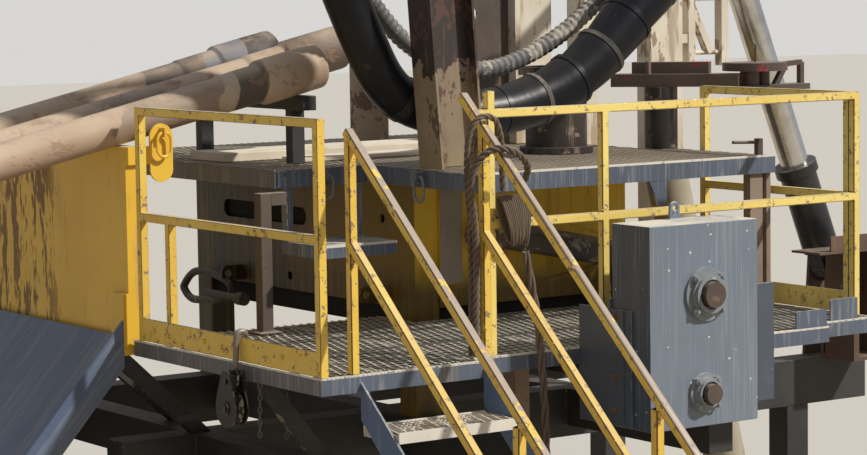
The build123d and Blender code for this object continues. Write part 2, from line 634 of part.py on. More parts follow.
# Flexible duct under the upper deck and the suction hose beside the core
def make_ducts():
    duct_top = upper_bottom - 60.5
    top = Vector(3085, 1510, duct_top)
    low = Vector(3600, 1430, ground_z + 20)
    along = (low - top).normalized()
    body = rod(tuple(top - along * 40), tuple(low + along * 40), 110)
    body = body - block(2800, 3900, 1200, 1700, duct_top, 1200)
    body = body - block(2800, 3900, 1200, 1700, ground_z - 400, ground_z + 20)
    nodes["dust_duct"] = body + rod((3600, 1430, ground_z), (3600, 1430, ground_z + 20), 160)
    points = [(1830, 1236, 385), (2150, 1150, 322), (2480, 1110, 250), (2480, 1110, 20.5)]
    radii = [320, 150]
    path = FilletPolyline(*points, radius=radii)
    print("suction hose arc radii", radii)
    nodes["suction_hose"] = sweep(Plane(origin=path @ 0, z_dir=path % 0) * Circle(66), path=path)
    face = Vector(*points[0])
    back = (path % 0) * -1
    elbow = rod(tuple(face), tuple(face + back * 60), 84) + rod((1740, 1250, 390), (1740, 1400, 390), 84)
    elbow = elbow - block(1500, 2100, core_front_y - core_plate, 1600, 0, 700)
    socket = rod((2480, 1110, 0), (2480, 1110, 20), 100)
    nodes["suction_fittings"] = Compound(children=[elbow, socket])


# Mast cylinder with its seal collar, foot bracket and stay
def make_cylinder():
    y = front_beam_y
    knee = Vector(cylinder_knee[0], y, cylinder_knee[1])
    along = Vector(-cylinder_lean, 0, -1).normalized()
    foot = knee + along * 640
    head = Vector(knee.X + cylinder_lean * (cylinder_head_z - knee.Z), y, cylinder_head_z)
    reach = (head - knee).length
    nodes["cylinder_rod"] = joined([
        rod(tuple(knee), tuple(knee - along * (reach - 112)), 78),
        bar(tuple(knee - along * (reach - 113)), tuple(head), 90, 90, (0, 1, 0)),
        rod(tuple(knee - along * 1020), tuple(knee - along * 1180), 84),
        rod((head.X - 50, y, head.Z), (head.X + 50, y, head.Z), 62)])
    nodes["cylinder_rod"] = nodes["cylinder_rod"] - rod((head.X - 90, y, head.Z), (head.X + 90, y, head.Z), 28.05)
    nodes["cylinder_barrel"] = joined([
        rod(tuple(knee), tuple(foot - along * 130), 100),
        rod(tuple(knee), tuple(knee + along * 54), 118),
        bar(tuple(foot - along * 131), tuple(foot), 120, 110, (0, 1, 0)),
        rod((foot.X, y - 55, foot.Z), (foot.X, y + 55, foot.Z), 68)])
    pin = rod((foot.X, y - 125, foot.Z), (foot.X, y + 125, foot.Z), 32)
    cheek = Polyline((-110, 0), (150, 0), (70, foot.Z - beam_top_z + 70), (-70, foot.Z - beam_top_z + 70),
                     close=True)
    cheeks = [extrude(facing_front(foot.X, near, beam_top_z) * make_face(cheek), 20) for near in (y - 64, y + 84)]
    nodes["cylinder_barrel"] = nodes["cylinder_barrel"] - rod((foot.X, y - 130, foot.Z), (foot.X, y + 130, foot.Z),
                                                              32.05)
    shelf = [block(4030, 4560, y - 330, y - 105, 120, 132), block(4110, 4560, y - 330, y - 318, 132, 215),
             block(4500, 4538, y - 330, y - 105, beam_top_z, 120),
             block(4278, 4316, y - 330, y - 105, beam_top_z, 120),
             block(4278, 4538, y - 330, y - 64, beam_top_z, beam_top_z + 20)]
    nodes["cylinder_foot"] = joined(cheeks + shelf + [pin])


make_lower_deck()
make_upper_deck()
make_core()
make_substructure()
make_wall_and_ramp()
make_pipes()
make_pipe_supports()
make_rails()
make_stair()
make_step()
make_case()
make_snatch_block()
make_rings()
make_mast()
make_channel()
make_hoses()
make_rope()
make_floor_tools()
make_ducts()
make_cylinder()

# Set on the ground, centred on the footprint
boxes = [shape.bounding_box() for shape in nodes.values()]
low = [min(getattr(box.min, axis) for box in boxes) for axis in "XYZ"]
high = [max(getattr(box.max, axis) for box in boxes) for axis in "XYZ"]
set_down = Pos(-(low[0] + high[0]) / 2, -(low[1] + high[1]) / 2, -low[2])
print("deck corner stands at", set_down.position)
os.makedirs("parts", exist_ok=True)
for name, shape in nodes.items():
    export_step(set_down * shape, "parts/" + name + ".step")
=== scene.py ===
import bpy
import bmesh
import math
import random
from mathutils import Matrix, Vector


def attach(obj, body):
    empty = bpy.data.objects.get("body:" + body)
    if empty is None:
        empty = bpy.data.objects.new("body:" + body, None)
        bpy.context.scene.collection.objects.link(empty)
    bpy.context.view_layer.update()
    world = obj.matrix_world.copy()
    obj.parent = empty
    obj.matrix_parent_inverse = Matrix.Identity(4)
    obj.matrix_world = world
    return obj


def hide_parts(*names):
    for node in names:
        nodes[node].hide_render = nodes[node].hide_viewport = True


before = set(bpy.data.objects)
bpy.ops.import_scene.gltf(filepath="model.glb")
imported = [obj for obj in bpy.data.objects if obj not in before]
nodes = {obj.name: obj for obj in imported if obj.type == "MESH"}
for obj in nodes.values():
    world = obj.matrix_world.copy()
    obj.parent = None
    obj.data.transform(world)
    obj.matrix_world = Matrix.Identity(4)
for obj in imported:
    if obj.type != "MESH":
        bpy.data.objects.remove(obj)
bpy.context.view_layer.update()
random.seed(7)

# every place below is measured in metres from the lower deck's front left corner
deckCorner = Vector((0.134454, -0.835, 1.7))


def spot(x, y, z):
    return Vector((x, y, z)) + deckCorner


def inScene(name, data):
    made = bpy.data.objects.new(name, data)
    bpy.context.scene.collection.objects.link(made)
    return made


# camera, at the place that the photograph was taken from
cameraValues = {"place": (-5.862993, -9.306261, 1.636846), "azimuth": 0.604898, "pitch": -0.092466,
                "roll": 0.014394, "lens": 112.413}


def placeCamera(v):
    azimuth, pitch, roll = v["azimuth"], v["pitch"], v["roll"]
    level = Vector((math.sin(azimuth), math.cos(azimuth), 0))
    forward = level * math.cos(pitch) + Vector((0, 0, math.sin(pitch)))
    right = Vector((level.y, -level.x, 0))
    down = forward.cross(right)
    across = right * math.cos(roll) + down * math.sin(roll)
    below = down * math.cos(roll) - right * math.sin(roll)
    data = bpy.data.cameras.new("camera")
    data.lens, data.sensor_width = v["lens"], 36.0
    data.clip_start, data.clip_end = 0.1, 200
    camera = inScene("camera", data)
    turn = Matrix((across, -below, -forward)).transposed().to_4x4()
    camera.matrix_world = Matrix.Translation(spot(*v["place"])) @ turn
    bpy.context.scene.camera = camera


placeCamera(cameraValues)
print("camera placed")


# ---- lines and tubes

def newCurve(name):
    data = bpy.data.curves.new(name, "CURVE")
    data.dimensions = "3D"
    return data


def addSpline(data, kind, places, radii=1.0):
    spline = data.splines.new(kind)
    spline.points.add(len(places) - 1)
    for i, (target, place) in enumerate(zip(spline.points, places)):
        target.co = (*spot(*place), 1)
        target.radius = radii if isinstance(radii, float) else radii[i]
    return spline


def curveMesh(name, data):
    holder = inScene(name, data)
    bpy.context.view_layer.update()
    mesh = bpy.data.meshes.new_from_object(holder)
    bpy.data.objects.remove(holder)
    return mesh


def smoothLine(points):
    data = newCurve("line")
    spline = addSpline(data, "NURBS", points)
    spline.order_u, spline.use_endpoint_u, spline.resolution_u = 3, True, 16
    mesh = curveMesh("line", data)
    line = [v.co - deckCorner for v in mesh.vertices]
    bpy.data.meshes.remove(mesh)
    return line


def stepsOf(line):
    return [(b - a).length for a, b in zip(line, line[1:])]


def pointAt(line, share):
    steps = stepsOf(line)
    goal = share * sum(steps)
    for a, b, step in zip(line, line[1:], steps):
        if goal <= step:
            return a + (b - a) * (goal / step), (b - a).normalized()
        goal -= step
    return line[-1], (line[-1] - line[-2]).normalized()


def stretchOf(line, start, end, count):
    return [pointAt(line, start + (end - start) * i / (count - 1))[0] for i in range(count)]


def addPiece(name, mesh, finish=None, body="frame", stands=()):
    piece = inScene(name, mesh)
    if finish:
        mesh.materials.append(paint[finish])
    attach(piece, body)
    if stands:
        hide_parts(*stands)
    return piece


# one mesh of round tubes, each a list of points with one radius, or a radius at each
def tubesMesh(name, tubes, segments):
    data = newCurve(name)
    data.bevel_depth = 1.0
    data.bevel_resolution = segments // 4 - 1
    data.use_fill_caps = True
    for line, radii in tubes:
        addSpline(data, "POLY", line, radii)
    mesh = curveMesh(name + "Line", data)
    mesh.name = name
    mesh.materials.clear()
    for face in mesh.polygons:
        face.use_smooth = True
    return mesh


def tubeAlong(name, line, radii, finish, segments, body="frame", stands=()):
    return addPiece(name, tubesMesh(name, [(line, radii)], segments), finish, body, stands)


# ---- ropes on the stair rail's head: each is three strands laid round the route's own line
ropeValues = {
    "loopRope": {"node": "rope_loop", "diameter": 0.034, "length": 1.3, "lay": "hanging", "turn": 0.105,
                 "route": ((0.8, 0.03, 0.02), (0.806, 0.022, 0.298), (0.803, 0.02, 0.6),
                           (0.715, -0.045, 0.785), (0.775, -0.11, 0.918), (0.88, -0.165, 0.908),
                           (1.005, -0.12, 0.815), (1.004, -0.015, 0.722))},
    "hitchRope": {"node": "rope_hitch", "diameter": 0.028, "length": 1.42, "lay": "hanging", "turn": 0.105,
                  "route": ((0.802, 0.064, 0.017), (0.806, 0.06, 0.29), (0.803, 0.058, 0.57),
                            (0.776, 0.044, 0.77), (0.764, 0.02, 0.955), (0.806, 0.0, 1.046),
                            (0.89, -0.006, 1.042), (0.932, 0.004, 0.96), (0.942, 0.018, 0.84),
                            (0.95, 0.022, 0.722))},
    "tailRope": {"node": "rope_tail", "diameter": 0.038, "length": 0.95, "lay": "hanging", "turn": 0.34,
                 "route": ((1.07, 0.03, 0.449), (1.121, 0.03, 0.235), (1.15, 0.03, 0.013),
                           (1.169, 0.03, -0.252), (1.178, 0.032, -0.5))},
}
strandValues = {"count": 3, "share": 0.464, "step": 0.007, "segments": 12}
hankValues = {"turns": 14.5, "perTurn": 14, "diameter": 0.0105, "length": 6.7, "node": "rope_hank",
              "head": (1.0, 0.022, 0.7), "foot": (1.04, 0.028, 0.462), "headHalf": 0.082, "footHalf": 0.046,
              "depth": 0.027, "slack": 0.86, "start": (0.95, 0.022, 0.716), "finish": (1.07, 0.03, 0.456)}


# "share" is a strand's radius as a share of the rope's, and "turn" the length of one turn
def strandsRound(line, radius, turn, v):
    strand = radius * v["share"]
    length = sum(stepsOf(line))
    steps = int(length / v["step"])
    tubes = [([], strand) for _ in range(v["count"])]
    side = None
    for i in range(steps + 1):
        place, way = pointAt(line, i / steps)
        side = way.orthogonal() if side is None else side - way * side.dot(way)
        side.normalize()
        cross = way.cross(side)
        for k, (points, _) in enumerate(tubes):
            angle = 2 * math.pi * (i / steps * length / turn + k / v["count"])
            points.append(place + (side * math.cos(angle) + cross * math.sin(angle)) * (radius - strand))
    return tubes


# a hank of thin line: its turns lie side by side, and are wider apart at the head than at the foot
def hankRoute(v):
    head, foot = Vector(v["head"]), Vector(v["foot"])
    points = [Vector(v["start"])]
    sizes = [random.uniform(v["slack"], 1.0) for _ in range(int(v["turns"]) + 2)]
    for k in range(1, int(v["turns"] * v["perTurn"])):
        turn = k / v["perTurn"]
        angle = 2 * math.pi * turn
        size = sizes[int(turn + 0.5)] if math.cos(angle) < 0 else 1.0
        drop = (1 - math.cos(angle)) / 2
        half = v["headHalf"] * (1 - drop) + v["footHalf"] * drop
        middle = head + (foot - head) * drop * size
        points.append(middle + Vector((half * (2 * turn / v["turns"] - 1), v["depth"] * math.sin(angle), 0)))
    return points + [Vector(v["finish"])]


def hangRopes(ropes, strands, hank):
    made = []
    for name, v in ropes.items():
        line = smoothLine(v["route"])
        tubes = strandsRound(line, v["diameter"] / 2, v["turn"], strands)
        made.append((name, tubesMesh(name, tubes, strands["segments"]), line, v))
    line = smoothLine(hankRoute(hank))
    made.append(("hankLine", tubesMesh("hankLine", [(line, hank["diameter"] / 2)], 8), line,
                 dict(hank, route=(hank["start"],))))
    pieces = []
    for name, mesh, line, v in made:
        piece = addPiece(name, mesh, stands=(v["node"],))
        pieces.append(piece)
    return pieces


ropes = hangRopes(ropeValues, strandValues, hankValues)
print("ropes hung")


# ---- shader nodes

# a number, colour or vector is set on its socket, and an output is linked to it
def feed(socket, value):
    if isinstance(value, (int, float)):
        socket.default_value = value
    elif isinstance(value, tuple):
        socket.default_value = (*value, 1.0)[:len(socket.default_value)]
    else:
        socket.id_data.links.new(value, socket)


# a node goes into the tree of the output that feeds it
def addNode(kind, settings, inputs):
    tree = next(value.id_data for value in inputs.values() if isinstance(value, bpy.types.NodeSocket))
    node = tree.nodes.new("ShaderNode" + kind)
    for name, value in settings.items():
        setattr(node, name, value)
    for name, value in inputs.items():
        feed(node.inputs[name], value)
    return node.outputs


def mathNode(kind, a, b, clamp=False):
    return addNode("Math", {"operation": kind, "use_clamp": clamp}, {0: a, 1: b})[0]


def times(a, b, clamp=False):
    return mathNode("MULTIPLY", a, b, clamp)


def plus(a, b):
    return mathNode("ADD", a, b)


def minus(a, b):
    return mathNode("SUBTRACT", a, b)


def vectorNode(kind, a, b=(0.0, 0.0, 0.0)):
    return addNode("VectorMath", {"operation": kind}, {0: a, 1: b})


def scaled(vector, scale):
    return vectorNode("MULTIPLY", vector, scale)[0]


def turned(vector, axis, angle):
    return addNode("VectorRotate", {"rotation_type": axis + "_AXIS"}, {"Vector": vector, "Angle": angle})[0]


def partOf(vector, axis):
    return addNode("SeparateXYZ", {}, {0: vector})[axis]


def noiseNode(vector, scale, detail=4.0, rough=0.6):
    return addNode("TexNoise", {},
                   {"Vector": vector, "Scale": scale, "Detail": detail, "Roughness": rough})["Fac"]


def stepNode(value, low, high):
    return addNode("MapRange", {"interpolation_type": "SMOOTHSTEP"},
                   {"Value": value, "From Min": low, "From Max": high})["Result"]


# 1 where the value is past a level that sinks as the share of the marks grows
def cutAt(value, share, level, slope, soft):
    start = minus(level, times(share, slope))
    return stepNode(value, start, plus(start, soft))


def mixColour(mask, a, b):
    return addNode("Mix", {"data_type": "RGBA"}, {0: mask, 6: a, 7: b})[2]


def laid(colour, mask, strength, shade):
    return mixColour(times(mask, strength), colour, shade)


# ---- shader groups shared by the materials: each gives a mask

def newGroup(name, inputs):
    group = bpy.data.node_groups.new(name, "ShaderNodeTree")
    for label, value in inputs.items():
        kind = "NodeSocketFloat" if isinstance(value, float) else "NodeSocketVector"
        group.interface.new_socket(label, in_out="INPUT", socket_type=kind).default_value = value
    group.interface.new_socket("Mask", in_out="OUTPUT", socket_type="NodeSocketFloat")
    start, end = group.nodes.new("NodeGroupInput"), group.nodes.new("NodeGroupOutput")
    return group, start.outputs, end.inputs["Mask"]


def useGroup(group, **inputs):
    return addNode("Group", {"node_tree": group}, inputs)[0]


# patches are flaked paint with small chips round larger ones, streaks are narrow runs along Z, and drips are
# fine straight lines that run the whole height; each is a coarse noise and a fine one, weighed and cut
origin, even = (0.0, 0.0, 0.0), (1.0, 1.0, 1.0)
markValues = {
    "flakedPatches": {"shape": even, "detail": 5.0, "rough": 0.62, "fineShape": even, "fineTimes": 5.5,
                      "fineDetail": 3.0, "weight": 0.72, "level": 0.74, "slope": 0.5, "soft": 0.035},
    "runningStreaks": {"shape": (1.0, 1.0, 0.09), "detail": 4.0, "rough": 0.65, "fineShape": (1.0, 1.0, 0.5),
                       "fineScale": 5.0, "fineDetail": 3.0, "weight": 0.7, "level": 0.72, "slope": 0.45,
                       "soft": 0.07},
    "fineDrips": {"shape": (1.0, 1.0, 0.012), "detail": 2.0, "rough": 0.6, "fineShape": (1.0, 1.0, 0.2),
                  "fineScale": 6.0, "fineDetail": 2.0, "weight": 0.75, "level": 0.68, "slope": 0.4,
                  "soft": 0.04},
}


def makeMarkGroup(name, v):
    group, given, mask = newGroup(name, {"Place": origin, "Scale": 10.0, "Share": 0.3})
    coarse = noiseNode(scaled(given["Place"], v["shape"]), given["Scale"], v["detail"], v["rough"])
    fineScale = v["fineScale"] if "fineScale" in v else times(given["Scale"], v["fineTimes"])
    fine = noiseNode(scaled(given["Place"], v["fineShape"]), fineScale, v["fineDetail"], 0.5)
    both = plus(times(coarse, v["weight"]), times(fine, 1 - v["weight"]))
    feed(mask, cutAt(both, given["Share"], v["level"], v["slope"], v["soft"]))
    return group


# dust: lies on what faces up, thicker in blotches
def makeDustGroup():
    group, given, mask = newGroup("settledDust", {"Place": origin, "Normal": origin, "Scale": 9.0,
                                                  "Amount": 0.6})
    upward = stepNode(partOf(given["Normal"], "Z"), 0.35, 0.95)
    cover = stepNode(noiseNode(given["Place"], given["Scale"], 6.0, 0.7), 0.28, 0.62)
    feed(mask, times(times(upward, cover), given["Amount"], True))
    return group


# edges: chips along the edges of square bars, more on those that face the pipes' side
def makeEdgeGroup():
    group, given, mask = newGroup("chippedEdges", {"Place": origin, "Normal": origin, "Slope": 0.0,
                                                   "Share": 0.5})
    flat = 0.0
    for source in (given["Normal"], turned(given["Normal"], "X", given["Slope"])):
        size = vectorNode("ABSOLUTE", source)[0]
        for axis in "XYZ":
            flat = mathNode("MAXIMUM", partOf(size, axis), flat)
    edge = minus(1.0, stepNode(flat, 0.94, 0.985))
    facing = stepNode(partOf(given["Normal"], "X"), 0.05, -0.2)
    chosen = plus(0.45, times(facing, 0.55))
    chips = cutAt(noiseNode(given["Place"], 21.0, 3.0), given["Share"], 0.72, 0.45, 0.05)
    feed(mask, times(times(edge, chosen), chips, True))
    return group


# dots: small round specks, as spatter leaves them
def makeDotGroup():
    group, given, mask = newGroup("spatterDots", {"Place": origin, "Scale": 14.0, "Size": 0.08})
    cells = addNode("TexVoronoi", {}, {"Vector": given["Place"], "Scale": given["Scale"]})
    size = times(given["Size"], noiseNode(given["Place"], 7.0, 1.0, 0.5))
    feed(mask, mathNode("LESS_THAN", cells["Distance"], times(size, 2.0)))
    return group


# a reach along one axis, with a ragged edge: 0 before its start and 1 past it
def makeReachGroup():
    group, given, mask = newGroup("raggedReach", {"Place": origin, "Axis": (0.0, 0.0, 1.0), "Start": 0.0,
                                                  "Width": 0.05, "Rag": 0.1, "Scale": 8.0})
    along = vectorNode("DOT_PRODUCT", given["Place"], given["Axis"])["Value"]
    breaks = noiseNode(given["Place"], given["Scale"])
    level = plus(along, times(minus(breaks, 0.5), given["Rag"]))
    feed(mask, stepNode(level, given["Start"], plus(given["Start"], given["Width"])))
    return group


patchGroup, streakGroup, dripGroup = [makeMarkGroup(name, v) for name, v in markValues.items()]
dustGroup = makeDustGroup()
edgeGroup = makeEdgeGroup()
dotGroup = makeDotGroup()
reachGroup = makeReachGroup()


# ---- materials

def startMaterial(name):
    material = bpy.data.materials.new(name)
    material.use_nodes = True
    known = material.node_tree.nodes
    coords = known.new("ShaderNodeTexCoord").outputs
    return material, known["Principled BSDF"].inputs, coords["Object"], coords["Normal"]


def addBump(shader, height, strength, distance):
    bump = addNode("Bump", {}, {"Height": height, "Strength": strength, "Distance": distance})
    feed(shader["Normal"], bump["Normal"])


# scratches, in two sizes: the shape of their noise, the two levels it is cut between, and their strength
scratchScales = (((0.7, 8.0, 8.0), 0.45, 0.75, 0.7), ((1.8, 52.0, 52.0), 0.5, 0.7, 1.0))
scratchColour = (0.27, 0.285, 0.3)


# painted or bare metal with its own bands, rust, streaks, chipped edges and dust
def wornMetal(name, values):
    v = dict(plainMetal, **values)
    material, shader, place, normal = startMaterial(name)

    def reachFrom(axis, start, width, rag, scale=8.0):
        return useGroup(reachGroup, Place=place, Axis=axis, Start=start + deckCorner.dot(Vector(axis)),
                        Width=width, Rag=rag, Scale=scale)

    broad = noiseNode(place, v["toneScale"], 3.0, 0.55)
    colour = mixColour(stepNode(broad, 0.3, 0.7), *v["colour"])
    for axis, begin, finish, rag, strength, shade, width in v["bands"]:
        band = minus(reachFrom(axis, begin, width, rag), reachFrom(axis, finish, width, rag))
        colour = laid(colour, band, strength, shade)
    streaks = useGroup(streakGroup, Place=place, Scale=v["streakScale"], Share=v["streakShare"])
    colour = laid(colour, streaks, v["streakStrength"], v["streak"])
    if "drip" in v:
        drips = useGroup(dripGroup, Place=place, Scale=v["dripScale"], Share=v["dripShare"])
        colour = laid(colour, drips, v["dripStrength"], v["drip"])
    if "scratches" in v:
        slanted = turned(place, "Y", math.radians(48))
        for shape, low, high, share in scratchScales:
            marks = noiseNode(scaled(slanted, shape), 1.0, 4.0, 0.7)
            colour = laid(colour, stepNode(marks, low, high), share * v["scratches"], scratchColour)
    patches = useGroup(patchGroup, Place=scaled(place, v["patchShape"]), Scale=v["patchScale"],
                       Share=v["patchShare"])
    if "patchFrom" in v:
        patches = times(patches, reachFrom(*v["patchFrom"], 0.3, 3.0))
    grain = noiseNode(place, v["grainScale"], 4.0, 0.7)
    colour = laid(colour, patches, v["patchStrength"], mixColour(grain, *v["rust"]))
    dust = useGroup(dustGroup, Place=place, Normal=normal, Scale=v["dustScale"], Amount=v["dustAmount"])
    colour = mixColour(dust, colour, v["dust"])
    if "topShare" in v:
        rubbed = useGroup(patchGroup, Place=place, Scale=4.5, Share=v["topShare"])
        if "topFrom" in v:
            past = reachFrom(*v["topFrom"], 0.02)
            rubbed = times(rubbed, plus(0.25, times(past, 0.75)))
        upward = partOf(turned(normal, "X", v["slope"]), "Z")
        rubbed = times(rubbed, stepNode(upward, 0.8, 0.95))
        colour = laid(colour, rubbed, 0.9, mixColour(grain, *v["top"]))
    if "edge" in v:
        edges = useGroup(edgeGroup, Place=place, Normal=normal, Slope=v["slope"], Share=v["edgeShare"])
        colour = laid(colour, edges, 0.95, v["edge"])
    if "dot" in v:
        dots = useGroup(dotGroup, Place=place, Scale=v["dotScale"], Size=v["dotSize"])
        colour = laid(colour, dots, 0.8, v["dot"])
    colour = laid(colour, stepNode(grain, 0.62, 0.74), v["speckle"], v["speckleColour"])
    feed(shader["Base Color"], colour)
    wear = mathNode("MAXIMUM", patches, dust)
    feed(shader["Roughness"], plus(v["rough"], times(wear, 0.85 - v["rough"])))
    feed(shader["Metallic"], v["metal"])
    height = minus(times(grain, 0.4), times(patches, 0.5))
    addBump(shader, height, v["bump"], 0.002)
    return material


# colour, rust and top are each two colours that a noise mixes; a band is its axis, begin, end, ragged edge,
# strength, colour and the width of its soft edge
upAxis, pipeAxis, depthAxis = (0.0, 0.0, 1.0), (1.0, 0.0, 0.0), (0.0, 1.0, 0.0)
stairSlope = -math.atan(0.885)
plainMetal = dict(toneScale=2.3, streakScale=14.0, streakShare=0.0, streakStrength=0.6,
    streak=(0.2, 0.11, 0.05), patchShape=(1.0, 1.0, 1.0), patchScale=9.0, patchShare=0.3, grainScale=60.0,
    rust=((0.13, 0.07, 0.035), (0.26, 0.16, 0.1)), patchStrength=0.9, dustScale=9.0, dustAmount=0.6,
    dust=(0.62, 0.54, 0.42), speckle=0.4, speckleColour=(0.1, 0.08, 0.06), rough=0.6, metal=0.0, bump=0.35,
    slope=0.0, bands=())
railPaint = dict(colour=((0.84, 0.6, 0.11), (0.76, 0.5, 0.075)), patchScale=26.0, patchShare=0.36,
    rust=((0.11, 0.07, 0.045), (0.36, 0.27, 0.19)), streakShare=0.18, streakStrength=0.5,
    streak=(0.34, 0.22, 0.1), dustAmount=0.25, dust=(0.84, 0.74, 0.45), speckle=0.3, rough=0.42,
    edgeShare=0.9, edge=(0.07, 0.045, 0.035),
    top=((0.42, 0.36, 0.33), (0.66, 0.58, 0.42)))
